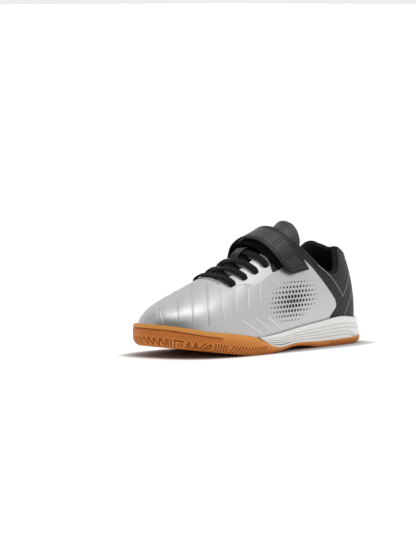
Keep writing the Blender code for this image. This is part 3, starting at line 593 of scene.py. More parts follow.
class Paint:
    """The node tree of a material or of the sky, with the shader that it feeds."""

    def __init__(self, owner: bpy.types.Material | bpy.types.World, shader: str = "BSDF_PRINCIPLED") -> None:
        """Turn on the owner's nodes and find its shader."""
        owner.use_nodes = True
        self.tree = owner.node_tree
        self.shader = next(node for node in self.tree.nodes if node.type == shader)

    def feed(self, socket: bpy.types.NodeSocket, value: Wire | float | Sequence[float]) -> None:
        """Link or set one socket."""
        if isinstance(value, Wire):
            self.tree.links.new(value.socket, socket)
        elif isinstance(value, tuple) and socket.type == "RGBA":
            socket.default_value = (*value, 1.0)
        else:
            socket.default_value = value

    def node(self, kind: str, settings: dict[str, object], sockets: dict, output: str | int = 0) -> Wire:
        """Add a node.

        Args:
            kind: the node's type.
            settings: its properties, set first.
            sockets: values or links of its inputs, by name or number.
            output: the output to return.

        Returns:
            The output, ready for more maths.
        """
        node = self.tree.nodes.new(kind)
        for name, value in settings.items():
            setattr(node, name, value)
        for name, value in sockets.items():
            self.feed(node.inputs[name], value)
        return Wire(self, node.outputs[output])

    def set(self, sockets: dict[str, Wire | float | Colour]) -> None:
        """Feed the shader's sockets by name."""
        for name, value in sockets.items():
            self.feed(self.shader.inputs[name], value)

    def attribute(self, name: str) -> Wire:
        """Return a number that the mesh keeps at its vertices."""
        return self.node("ShaderNodeAttribute", {"attribute_name": name}, {}, "Fac")

    def place(self) -> Wire:
        """Return Object coordinates."""
        return self.node("ShaderNodeTexCoord", {}, {}, "Object")

    def cloth(self) -> tuple[Wire, Wire]:
        """Return the two coordinates of the piece's own map, in millimetres."""
        flat = self.node("ShaderNodeTexCoord", {}, {}, "UV")
        return tuple(self.node("ShaderNodeSeparateXYZ", {}, {0: flat}, axis) for axis in (0, 1))

    def axes(self) -> tuple[Wire, Wire, Wire]:
        """Return the three Object coordinates, in millimetres."""
        place = self.place()
        return tuple(self.node("ShaderNodeSeparateXYZ", {}, {0: place}, axis) / MM for axis in range(3))

    def noise(self, size: float, detail: float = 2.0, roughness: float = 0.5) -> Wire:
        """Return noise whose lumps are about a size in millimetres."""
        sockets = {"Vector": self.place(), "Scale": 1 / (size * MM), "Detail": detail, "Roughness": roughness}
        return self.node("ShaderNodeTexNoise", {}, sockets, "Fac")

    def pebble(self, size: float) -> Wire:
        """Return the distance to the edge of small cells, as the grain of leather has."""
        sockets = {"Vector": self.place(), "Scale": 1 / (size * MM)}
        return self.node("ShaderNodeTexVoronoi", {"feature": "DISTANCE_TO_EDGE"}, sockets, "Distance")

    def blend(self, factor: Wire, first: Wire | Colour, second: Wire | Colour) -> Wire:
        """Return a colour between two."""
        settings = {"data_type": "RGBA"}
        return self.node("ShaderNodeMix", settings, {0: factor, 6: first, 7: second}, 2)

    def bump(self, height: Wire, depth: float, strength: float = 1.0) -> None:
        """Roughen the surface by a height between 0 and 1, of a depth in millimetres."""
        sockets = {"Height": height, "Distance": depth * MM, "Strength": strength}
        self.set({"Normal": self.node("ShaderNodeBump", {}, sockets, "Normal")})


def shade(colour: Colour, factor: float) -> Colour:
    """Return a colour made lighter or darker."""
    return tuple(min(1.0, part * factor) for part in colour)


@dataclass(frozen=True)
class Finish:
    """The look of one material; each kind of material paints its own surface."""

    name: str
    colour: Colour
    roughness: float
    metallic: float = 0.0
    specular: float = 0.5

    def material(self) -> bpy.types.Material:
        """Return the material, made once."""
        if self.name not in bpy.data.materials:
            paint = Paint(bpy.data.materials.new(self.name))
            paint.set({"Base Color": self.colour, "Roughness": self.roughness, "Metallic": self.metallic,
                       "Specular IOR Level": self.specular})
            self.surface(paint)
        return bpy.data.materials[self.name]

    def surface(self, paint: Paint) -> None:
        """Add what varies over the surface."""

    def varied(self, paint: Paint, factor: Wire, low: float, high: float) -> Wire:
        """Return the colour, made darker where a factor is 0 and lighter where it is 1."""
        return paint.blend(factor, shade(self.colour, low), shade(self.colour, high))

    def dulled(self, factor: Wire, spread: float) -> Wire:
        """Return the roughness, spread evenly round its value by a factor between 0 and 1."""
        return self.roughness - spread / 2 + spread * factor


@dataclass(frozen=True)
class Foil(Finish):
    """Silver synthetic with a fine grain."""

    grain: float = 0.5
    pebble: float = 1.3
    depth: float = 0.10
    cloud: float = 18.0
    mottle: Pair = (0.94, 1.05)
    spread: float = 0.12

    def surface(self, paint: Paint) -> None:
        """Mottle the foil slightly and press a faint grain into it."""
        fine = paint.noise(self.grain, FINE_DETAIL)
        colour = self.varied(paint, paint.noise(self.cloud), *self.mottle)
        paint.set({"Base Color": self.printed(paint, colour), "Roughness": self.dulled(fine, self.spread)})
        paint.bump((fine + paint.noise(self.pebble)) * 0.5, self.depth, SOFT_BUMP)

    def printed(self, paint: Paint, colour: Wire) -> Wire:
        """Return the colour with what is printed on it."""
        return colour


@dataclass(frozen=True)
class DottedFoil(Foil):
    """Silver synthetic with a print of fading dots on the outer quarter."""

    ink: Colour = (0.035, 0.035, 0.034)
    pitch: float = 3.8
    largest: float = 1.75
    middle: Pair = (-16.0, 40.0)
    reach: float = 31.0
    slope: float = 0.45
    flatness: float = 0.62
    shrink: float = 0.55
    ink_edge: float = 0.10
    last_dots: Pair = (0.02, 0.06)
    outer_from: Pair = (4.0, 6.0)

    def printed(self, paint: Paint, colour: Wire) -> Wire:
        """Return the colour with rows of dots that shrink away from the middle of the print."""
        x, y, z = paint.axes()
        row = (z / self.pitch).math("FLOOR")
        column = x / self.pitch + row * 0.5
        across = (column.fraction() - 0.5) * self.pitch
        up = ((z / self.pitch).fraction() - 0.5) * self.pitch
        away = (across * across + up * up).math("SQRT")
        run = (x - self.middle[0] + (z - self.middle[1]) * self.slope) / self.reach
        rise = (z - self.middle[1]) / (self.reach * self.flatness)
        fade = 1 - (run * run + rise * rise).math("SQRT")
        radius = fade.math("MAXIMUM", 0.0) ** self.shrink * self.largest
        dot = (radius - away).step(-self.ink_edge, self.ink_edge)
        return paint.blend(dot * y.step(*self.outer_from) * fade.step(*self.last_dots), colour, self.ink)


@dataclass(frozen=True)
class Leather(Finish):
    """Grained synthetic leather."""

    grain: float = 0.9
    depth: float = 0.08
    cell_wall: float = 0.35
    cloud: float = 9.0
    mottle: Pair = (0.82, 1.18)
    spread: float = 0.10

    def surface(self, paint: Paint) -> None:
        """Press a pebbled grain into the surface."""
        cells = paint.pebble(self.grain).step(0.0, self.cell_wall)
        cloud = paint.noise(self.cloud)
        paint.set({"Roughness": self.dulled(cloud, self.spread)})
        paint.set({"Base Color": self.tinted(paint, cloud)})
        paint.bump(cells * 0.7 + paint.noise(0.3) * 0.3, self.depth)

    def tinted(self, paint: Paint, cloud: Wire) -> Wire:
        """Return the clouded colour."""
        return self.varied(paint, cloud, *self.mottle)


@dataclass(frozen=True)
class TwoLayers(Leather):
    """Leather whose hidden layer, marked on the mesh, is dull and darker."""

    under: Colour = (0.006, 0.006, 0.006)
    under_roughness: float = 0.95

    def tinted(self, paint: Paint, cloud: Wire) -> Wire:
        """Return the clouded colour, or the under layer's."""
        under = paint.attribute("under")
        paint.set({"Roughness": mix(self.roughness, self.under_roughness, under)})
        return paint.blend(under, super().tinted(paint, cloud), self.under)


@dataclass(frozen=True)
class Knit(Finish):
    """Knitted lining on the piece's own map."""

    pitch: float = 1.1
    depth: float = 0.30
    # colour in the knit's hollows and on its loop tops: painted shade and highlight
    mottle: Pair = (0.55, 1.6)

    def surface(self, paint: Paint) -> None:
        """Knit rows of small loops, with painted shade in the hollows between them and a painted highlight on
        their tops.
        """
        u, v = paint.cloth()
        bend = (u / self.pitch).fraction().away(0.5)
        loop = (v + bend * self.pitch).wave(self.pitch) * 0.5 + 0.5
        height = loop * (1 - bend * 1.2)
        # painted shade in the hollows, painted highlight on the loop tops
        paint.set({"Base Color": self.varied(paint, height, *self.mottle)})
        paint.bump(height, self.depth)


@dataclass(frozen=True)
class Braid(Finish):
    """Braided elastic on the piece's own map, round (u) and along (v) the lace."""

    pitch: float = 1.3
    depth: float = 0.28
    slant: float = 0.8
    # colour between the threads and on their tops: painted shade and highlight
    mottle: Pair = (0.4, 1.7)

    def surface(self, paint: Paint) -> None:
        """Cross two sets of slanting threads, with painted shade between them and a painted highlight on
        their tops.
        """
        u, v = paint.cloth()
        rising = (u + v * self.slant).wave(self.pitch)
        falling = (u - v * self.slant).wave(self.pitch)
        height = rising.math("MAXIMUM", falling) * 0.5 + 0.5
        # painted shade between the threads, painted highlight on their tops
        paint.set({"Base Color": self.varied(paint, height, *self.mottle)})
        paint.bump(height, self.depth)


@dataclass(frozen=True)
class Gum(Finish):
    """Gum rubber with a painted highlight on the lip above the groove and on the rims of cuts, and painted
    shade in the cuts and groove; the mesh marks both.
    """

    # painted highlight colour for the top of the lip and the rims of cuts
    lip: Colour = (0.74, 0.31, 0.070)
    # painted shade colour for the cuts and the groove
    cut: Colour = (0.27, 0.074, 0.013)
    grain: float = 0.5
    depth: float = 0.05
    cloud: float = 7.0
    mottle: Pair = (0.90, 1.10)
    spread: float = 0.1

    def surface(self, paint: Paint) -> None:
        """Paint a highlight on the lip, paint shade into the cuts and cloud the rubber."""
        cloud = paint.noise(self.cloud)
        body = self.varied(paint, cloud, *self.mottle)
        lipped = paint.blend(paint.attribute("lip"), body, self.lip)
        paint.set({"Base Color": paint.blend(paint.attribute("cut"), lipped, self.cut),
                   "Roughness": self.dulled(cloud, self.spread)})
        paint.bump(paint.noise(self.grain, FINE_DETAIL), self.depth, SOFT_BUMP)


@dataclass(frozen=True)
class Layered(Finish):
    """Moulded foam with painted shade in its creases, which the mesh marks."""

    # how dark the painted shade in the creases is
    crease: float = 0.84
    grain: float = 0.6
    depth: float = 0.02
    spread: float = 0.08

    def surface(self, paint: Paint) -> None:
        """Paint shade into the creases and dull the skin."""
        fine = paint.noise(self.grain, FINE_DETAIL)
        colour = self.varied(paint, paint.attribute("crease"), 1.0, self.crease)
        paint.set({"Base Color": colour, "Roughness": self.dulled(fine, self.spread)})
        paint.bump(fine, self.depth, SOFT_BUMP)


@dataclass(frozen=True)
class Moulded(Finish):
    """Moulded foam, rubber or plastic with a slight skin."""

    grain: float = 0.6
    depth: float = 0.04
    cloud: float = 14.0
    mottle: Pair = (0.95, 1.03)
    spread: float = 0.08

    def surface(self, paint: Paint) -> None:
        """Dull the moulded skin a little."""
        fine = paint.noise(self.grain, FINE_DETAIL)
        paint.set({"Base Color": self.varied(paint, paint.noise(self.cloud), *self.mottle),
                   "Roughness": self.dulled(fine, self.spread)})
        paint.bump(fine, self.depth, SOFT_BUMP)


SILVER = DottedFoil("silver_foil", (0.56, 0.56, 0.555), 0.37, 0.85)
# a lighter copy of the silver foil: painted highlight on the raised lines behind the toe
WELT_HIGHLIGHT = Foil("raised_foil_highlight", (0.72, 0.72, 0.715), 0.40, 0.50)
WHITE = Foil("pale_foil", (0.78, 0.78, 0.775), 0.38, 0.30)
PANEL = Leather("heel_leather", (0.0150, 0.0138, 0.0120), 0.46, 0.0, 0.25, 0.8, 0.05)
STRAP_LEATHER = TwoLayers("strap_leather", (0.013, 0.013, 0.0125), 0.28, 0.0, 0.47, 0.9, 0.05)
TONGUE_LEATHER = TwoLayers("tongue_leather", (0.011, 0.0106, 0.0102), 0.31, 0.0, 0.55, 0.9, 0.06)
KEEPER_LEATHER = Leather("keeper_leather", (0.009, 0.009, 0.011), 0.34, 0.0, 0.45, 1.4, 0.03)
LINING = Knit("knit_lining", (0.045, 0.045, 0.043), 0.95, 0.0, 0.08)
LACE = Braid("braided_lace", (0.006, 0.006, 0.005), 0.75, 0.0, 0.20)
GUM = Gum("gum_rubber", (0.55, 0.163, 0.029), 0.52, 0.0, 0.2)
FOAM = Layered("white_foam", (0.87, 0.86, 0.835), 0.60, 0.0, 0.3)
PLASTIC = Moulded("loop_plastic", (0.36, 0.365, 0.37), 0.28, 0.55)
PIPING = Moulded("grey_piping", (0.20, 0.22, 0.24), 0.45)
# lighter than the panel: painted highlight along the panel's collar edge
COLLAR_EDGE_HIGHLIGHT = Moulded("collar_edge_highlight", (0.055, 0.052, 0.048), 0.55)
INSOLE_CLOTH = Knit("insole_knit", (0.008, 0.008, 0.009), 0.95, 0.0, 0.1, 0.9)
BACKING = Moulded("strap_backing", (0.004, 0.004, 0.0045), 0.90, 0.0, 0.05)
BLACK_THREAD = Moulded("black_thread", (0.003, 0.003, 0.003), 0.60, 0.0, 0.12)
GREY_THREAD = Moulded("grey_thread", (0.13, 0.125, 0.13), 0.60)


def select_only(*pieces: Piece) -> None:
    """Select some pieces alone and make the first active."""
    bpy.ops.object.select_all(action="DESELECT")
    for piece in pieces:
        piece.select_set(True)
    bpy.context.view_layer.objects.active = pieces[0]


def add_sheet(name: str, columns: int, rows: int, surface: Surface,
              cloth: Pair = (1.0, 1.0)) -> Piece:
    """Add a grid primitive and lay its vertices on a surface.

    Args:
        name: the piece's name.
        columns: steps along u.
        rows: steps along v.
        surface: gives millimetre points for u and v between 0 and 1; u cross v points out.
        cloth: the size of the piece's own map, in millimetres.

    Returns:
        The new piece.
    """
    bpy.ops.object.select_all(action="DESELECT")
    bpy.ops.mesh.primitive_grid_add(x_subdivisions=columns, y_subdivisions=rows, size=2.0)
    sheet = bpy.context.object
    sheet.name = sheet.data.name = name
    flat = np.empty(len(sheet.data.vertices) * 3)
    sheet.data.vertices.foreach_get("co", flat)
    u, v = (flat.reshape(-1, 3)[:, :2].T + 1) / 2
    sheet.data.vertices.foreach_set("co", to_frame(surface(u, v)).ravel())
    map_data = sheet.data.uv_layers.active.data
    corners = np.empty(len(map_data) * 2)
    map_data.foreach_get("uv", corners)
    map_data.foreach_set("uv", (corners.reshape(-1, 2) * cloth).ravel())
    sheet.data.update()
    return sheet


def add_marked(name: str, columns: int, rows: int, surface: MarkedSurface,
               cloth: Pair = (1.0, 1.0)) -> Piece:
    """Add a sheet whose surface also gives numbers to keep at its vertices for the material."""
    marks: Marks = {}
    sheet = add_sheet(name, columns, rows, lambda u, v: surface(u, v, marks), cloth)
    for mark, values in marks.items():
        kept = sheet.data.attributes.new(mark, "FLOAT", "POINT")
        kept.data.foreach_set("value", values.astype(np.float32))
    return sheet


def merge(piece: Piece, gap: float = TOUCH) -> Piece:
    """Merge vertices that meet and leave the faces as they point."""
    select_only(piece)
    bpy.ops.object.mode_set(mode="EDIT")
    bpy.ops.mesh.select_all(action="SELECT")
    bpy.ops.mesh.remove_doubles(threshold=gap)
    bpy.ops.object.mode_set(mode="OBJECT")
    return piece


def weld(piece: Piece, cap: bool = False) -> Piece:
    """Merge vertices that meet, close open ends if asked, and turn the faces outwards."""
    merge(piece)
    bpy.ops.object.mode_set(mode="EDIT")
    bpy.ops.mesh.select_all(action="SELECT")
    if cap:
        bpy.ops.mesh.fill_holes(sides=0)
        bpy.ops.mesh.select_all(action="SELECT")
    bpy.ops.mesh.normals_make_consistent(inside=False)
    bpy.ops.object.mode_set(mode="OBJECT")
    return piece


def join(first: Piece, *others: Piece) -> Piece:
    """Join pieces into the first."""
    select_only(first, *others)
    bpy.ops.object.join()
    return first


def thicken(piece: Piece, thickness: float) -> Piece:
    """Give a sheet a thickness in millimetres behind its face."""
    select_only(piece)
    wall = piece.modifiers.new("wall", "SOLIDIFY")
    wall.thickness = thickness * MM
    wall.offset = -1.0
    bpy.ops.object.modifier_apply(modifier=wall.name)
    return piece


def add_rod(name: str, around: int, along: int, surface: Surface, cloth: Pair = (1.0, 1.0),
            cap: bool = True) -> Piece:
    """Add a closed round piece: u turns round its section and v runs along it."""
    return weld(add_sheet(name, around, along, surface, cloth), cap)


def hand_in(piece: Piece, finish: Finish, slot: Slot, *nodes: str, smooth: float = 40.0) -> Piece:
    """Dress a piece, shade it smooth and let it ride on the shoe's body.

    Args:
        piece: the finished mesh.
        finish: its material.
        slot: the record's slot for it.
        nodes: the solids that it stands for.
        smooth: edges flatter than this angle are shaded smooth.

    Returns:
        The same piece.
    """
    select_only(piece)
    bpy.ops.object.shade_smooth_by_angle(angle=math.radians(smooth))
    piece.data.materials.clear()
    piece.data.materials.append(finish.material())
    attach(piece, BODY)
    if nodes:
        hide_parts(*nodes)
    log.info("%s: %d faces", piece.name, len(piece.data.polygons))
    return piece


def sweep(name: str, path: Array, normals: Array, width: float | Array, thickness: float | Array,
          around: int = 12, squareness: float = 2.0) -> Piece:
    """Add a flat cord along a path.

    Args:
        name: the piece's name.
        path: points along its middle.
        normals: the way its flat face looks at each point.
        width: its width, or one at each point.
        thickness: its thickness, or one at each point.
        around: steps round its section.
        squareness: 2 for an oval section, more for a squarer one.

    Returns:
        The new piece.
    """
    along = unit(np.gradient(path, axis=0))
    across = unit(np.cross(normals, along))
    up = np.cross(along, across)
    wide = np.broadcast_to(width, len(path)) / 2
    tall = np.broadcast_to(thickness, len(path)) / 2
    length = float(np.linalg.norm(np.diff(path, axis=0), axis=1).sum())

    def surface(u: Array, v: Array) -> Array:
        """Return points round the cord."""
        k = np.rint(v * (len(path) - 1)).astype(int)
        side, rise = squircle(2 * np.pi * u, squareness)
        return path[k] + across[k] * (side * wide[k])[:, None] + up[k] * (rise * tall[k])[:, None]

    girth = CORD_GIRTH * float(wide.max() + tall.max())
    return add_rod(name, around, len(path) - 1, surface, (girth, length))


def near_path(points: Array, path: Array) -> tuple[Array, Array]:
    """Return each point's distance to a path and its share of the way along it."""
    best = np.full(len(points), np.inf)
    along = np.zeros(len(points))
    for k, (start, end) in enumerate(zip(path, path[1:])):
        run = end - start
        h = np.clip((points - start) @ run / (run @ run), 0, 1)
        gap = np.linalg.norm(points - start - h[:, None] * run, axis=1)
        along = np.where(gap < best, (k + h) / (len(path) - 1), along)
        best = np.minimum(gap, best)
    return best, along


@dataclass(frozen=True)
class Thread:
    """A sewing thread and the length of its stitches."""

    pitch: float = 2.5
    length: float = 1.9
    radius: float = 0.26

    def sew(self, name: str, seams: Sequence[tuple[Array, Array]]) -> Piece:
        """Lay stitches along seams as one joined mesh.

        Args:
            name: the piece's name.
            seams: points and outward normals along each seam, in millimetres.

        Returns:
            The new piece.
        """
        bpy.ops.object.select_all(action="DESELECT")
        bpy.ops.mesh.primitive_uv_sphere_add(segments=6, ring_count=4, radius=1.0)
        stitch = bpy.context.object
        shape = np.array([vertex.co for vertex in stitch.data.vertices])
        faces = [list(face.vertices) for face in stitch.data.polygons]
        bpy.data.objects.remove(stitch)
        points: list[Array] = []
        for path, normals in seams:
            points.extend(self.stitches(path, normals, shape))
        count = len(shape)
        corners = [[corner + k * count for corner in face] for k in range(len(points)) for face in faces]
        mesh = bpy.data.meshes.new(name)
        mesh.from_pydata(to_frame(np.concatenate(points)).tolist(), [], corners)
        piece = bpy.data.objects.new(name, mesh)
        bpy.context.scene.collection.objects.link(piece)
        return piece

    def stitches(self, path: Array, normals: Array, shape: Array) -> list[Array]:
        """Return the points of each stitch along one seam."""
        gone = np.concatenate([[0], np.cumsum(np.linalg.norm(np.diff(path, axis=0), axis=1))])
        places = np.arange(self.pitch / 2, gone[-1], self.pitch)

        def at(values: Array, where: Array) -> Array:
            """Return values at distances along the seam."""
            return np.stack([np.interp(where, gone, values[:, axis]) for axis in range(3)], -1)

        middle = at(path, places)
        step = 0.5
        ahead = unit(at(path, np.minimum(places + step, gone[-1])) - at(path, np.maximum(places - step, 0)))
        up = unit(at(normals, places))
        side = np.cross(up, ahead)
        return [centre + shape[:, 2:] * run * self.length / 2 + shape[:, :1] * across * self.radius
                + shape[:, 1:2] * rise * self.radius
                for centre, run, across, rise in zip(middle, ahead, side, up)]


@dataclass
class Outsole:
    """Gum sole: tread, side with its cuts and groove, and the lip round the forefoot."""

    columns: int = 1200
    rows: tuple[int, int, int] = (22, 44, 4)
    arc_samples: int = 2401
    groove_depth: float = 0.7
    groove_end: float = 8.35
    groove_width: float = 0.55
    groove_share: Pair = (0.74, 0.81)
    groove_rise_end: float = 11.0
    groove_ease: float = 0.2
    cut_depth: float = 1.0
    # how much painted shade fills a cut
    cut_shade: float = 0.7
    cut_half: Pair = (0.25, 0.75)
    # distance and width of the painted highlight along the rims of cuts
    cut_rim_highlight: Pair = (1.15, 0.35)
    lip_stations: Pair = (6.2, 7.0)
    # where the painted highlight on the lip starts up the side, ends at the groove and fades along the sole
    lip_highlight_fade: Pair = (0.35, 1.0)
    lip_highlight_edge: Pair = (-0.02, 0.03)
    highlight_stations: Pair = (5.0, 6.6)
    least_highlight: float = 0.7
    foot_round: float = 5.2
    foot_share: float = 0.42
    foot_bend: float = 0.98
    least_round: float = 0.3
    toe_round: Pair = (7.0, 10.0)
    heel_round: Pair = (1.4, 2.8)
    tread_depth: float = 1.3
    tread_bend: float = 18.0
    tread_pitch: float = 4.6
    tread_wall: Pair = (0.55, 0.75)
    tread_reach: Pair = (0.88, 0.95)
    under_wedge: float = 2.0
    rows_of_cuts: tuple[StrokeRun, ...] = (
        StrokeRun(Stroke(0.0, 1.0, 3.6, 0.0), 5.2, 4), StrokeRun(Stroke(3.6, 0.0, 4.6, 1.0), 5.2, 4),
        StrokeRun(Stroke(60.5, 0.05, 61.3, 1.0), 2.5, 5), StrokeRun(Stroke(74.0, 0.0, 78.0, 1.0), 3.3, 12),
        StrokeRun(Stroke(198.0, 0.1, 199.8, 1.0), 3.4, 14),
    )
    bars: tuple[Stroke, ...] = (
        Stroke(21.5, 0.1, 21.9, 1.0), Stroke(24.0, 0.1, 24.4, 1.0), Stroke(27.0, 0.0, 27.2, 1.0),
        Stroke(27.2, 0.95, 34.0, 0.90), Stroke(30.4, 0.20, 30.6, 0.60), Stroke(33.0, 0.20, 33.2, 0.60),
        Stroke(36.0, 0.10, 38.5, 0.95), Stroke(38.5, 0.95, 40.6, 0.10), Stroke(42.0, 0.10, 44.4, 0.95),
        Stroke(44.4, 0.95, 46.6, 0.10), Stroke(38.3, 0.10, 38.6, 0.50), Stroke(44.3, 0.10, 44.5, 0.50),
        Stroke(48.0, 0.25, 53.0, 1.00), Stroke(49.5, 0.00, 56.5, 0.90), Stroke(56.5, 0.90, 57.6, 0.55),
        Stroke(57.6, 0.55, 53.0, 0.05),
    )
    plain: Smooth = field(init=False)
    lipped: Smooth = field(init=False)
    low: Smooth = field(init=False)
    high: Smooth = field(init=False)
    arc: tuple[Array, Array] = field(init=False)

    def __post_init__(self) -> None:
        """Work out the side's profile, the cuts' height and the way round the sole."""
        self.plain = Smooth((0.0, 0.10, 0.30, 0.55, 1.0), (1.2, 0.7, 0.4, 0.2, 0.2))
        self.lipped = Smooth((0.0, 0.10, 0.40, 0.66, 0.88, 0.95, 1.0), (1.0, 0.6, 0.25, 0.15, 0.15, 0.7, 2.4))
        self.low = Smooth((0, 30, 75, 110, 250), (2.2, 1.4, 0.9, 0.6, 0.5))
        self.high = Smooth((0, 30, 50, 75, 116, 135, 250), (8.0, 7.6, 7.1, 6.7, 6.2, 3.0, 3.4))
        stations = np.linspace(-LAST_STATION, LAST_STATION, self.arc_samples)
        ring = LAST.outline(stations, LAST.level("margin", stations), 0.0)
        steps = np.linalg.norm(np.diff(ring, axis=0), axis=1)
        self.arc = (stations, np.concatenate([[0], np.cumsum(steps)]))

    def strokes(self) -> list[Stroke]:
        """Return every cut: the bars, then rows of zigzags at the toe and of slanting lines behind it."""
        return [*self.bars, *(stroke for row in self.rows_of_cuts for stroke in row.strokes())]

    def build(self) -> None:
        """Make the sole."""
        sole = add_marked("gum_sole", self.columns, sum(self.rows), self.surface)
        hand_in(weld(sole), GUM, Slot.GUM, "outsole", smooth=50)

    def way_round(self, station: Array) -> Array:
        """Return the distance round the sole from its toe, in millimetres."""
        gone = np.interp(station, *self.arc)
        return np.where(station > 0, self.arc[1][-1] - gone, gone)

    def profile(self, station: Array, share: Array) -> Array:
        """Return how far the side lies inside the sole's outline, with a bevel at the toe and heel."""
        s = np.abs(station)
        ends = mix(self.least_round, 1, ease(s, *self.toe_round) + 1 - ease(s, *self.heel_round))
        side = mix(self.plain(share), self.lipped(share), ease(s, *self.lip_stations))
        low = np.clip(1 - share / self.foot_share, 0, 1)
        return side + self.foot_round * ends * (1 - np.sqrt(1 - self.foot_bend * low ** 2))

    def cuts(self, station: Array, height: Array) -> tuple[Array, Array]:
        """Return how deep the side is cut, and how near the rim of a cut is for its painted highlight, both 0
        to 1.
        """
        spots = np.stack([self.way_round(station), height], -1)
        nearest = np.full(len(spots), np.inf)
        for stroke in self.strokes():
            ways = np.array([stroke.start_way, stroke.end_way])
            rises = np.array([stroke.start_rise, stroke.end_rise])
            heights = mix(self.low(ways), self.high(ways), rises)
            gap, _ = near_path(spots, np.stack([ways, heights], -1))
            nearest = np.minimum(nearest, gap)
        highlit_rim, width = self.cut_rim_highlight
        return 1 - ease(nearest, *self.cut_half), bell(nearest - highlit_rim, width)

    def tread(self, points: Array) -> Array:
        """Return how deep the underside is cut, 0 to 1, in a herringbone."""
        bend = np.abs((points[:, 1] / self.tread_bend) % 1 - 0.5) * self.tread_bend
        line = np.abs(((points[:, 0] + bend) / self.tread_pitch) % 1 - 0.5) * 2
        return ease(line, *self.tread_wall)

    def surface(self, u: Array, v: Array, marks: Marks) -> Array:
        """Return the sole's points, from the middle of the tread up the side and into the cup.

        Args:
            u: share of the way round the sole.
            v: share of the way from the tread's middle into the cup.
            marks: takes the share of painted lip highlight and of painted cut shade at each point.

        Returns:
            The points, in millimetres.
        """
        station = LAST_STATION * (1 - 2 * u)
        s = np.abs(station)
        reach, share, inward = spans(v, *self.rows)
        levels = ("floor", "gum_top", "margin", "bed")
        floor, top, margin, bed = (LAST.level(name, station) for name in levels)
        height = share * (top - floor)
        groove = mix(*self.groove_share, ease(s, self.groove_end, self.groove_rise_end))
        front = ease(s, self.groove_end, self.groove_end + self.groove_ease)
        line = front * bell((share - groove) * (top - floor), self.groove_width)
        cut, highlit_rim = self.cuts(station, height) * (share > 0)
        # painted highlight on the lip and the rims of cuts, painted shade in the cuts and the groove
        below, above = self.lip_highlight_edge
        lip = mix(ease(share, *self.lip_highlight_fade), ease(share, groove + below, groove + above), front)
        pale = mix(self.least_highlight, 1, ease(s, *self.highlight_stations))
        marks["lip"] = np.maximum(lip * pale, self.least_highlight * highlit_rim)
        marks["cut"] = np.maximum(self.cut_shade * cut, line)
        inset = self.profile(station, share) + self.groove_depth * line + self.cut_depth * cut
        side = LAST.outline(station, margin - inset, floor + height)
        outset = margin - self.profile(station, np.zeros_like(station))
        edge, other = (LAST.outline(place, outset, floor) for place in (station, -station))
        bottom = mix((edge + other) / 2, edge, reach[:, None])
        bottom[:, 2] += self.tread_depth * self.tread(bottom) * (1 - ease(reach, *self.tread_reach))
        rim = LAST.skin(station, LAST.share_at(station, top), GAP)
        rim[:, 2] = top
        base = np.minimum(top, bed - GAP)
        foot = LAST.outline(station, np.where(top < bed - GAP, GAP - self.under_wedge, GAP), base)
        inside = mix(rim, foot, inward[:, None])
        return np.where((share == 0)[:, None], bottom, np.where((inward > 0)[:, None], inside, side))


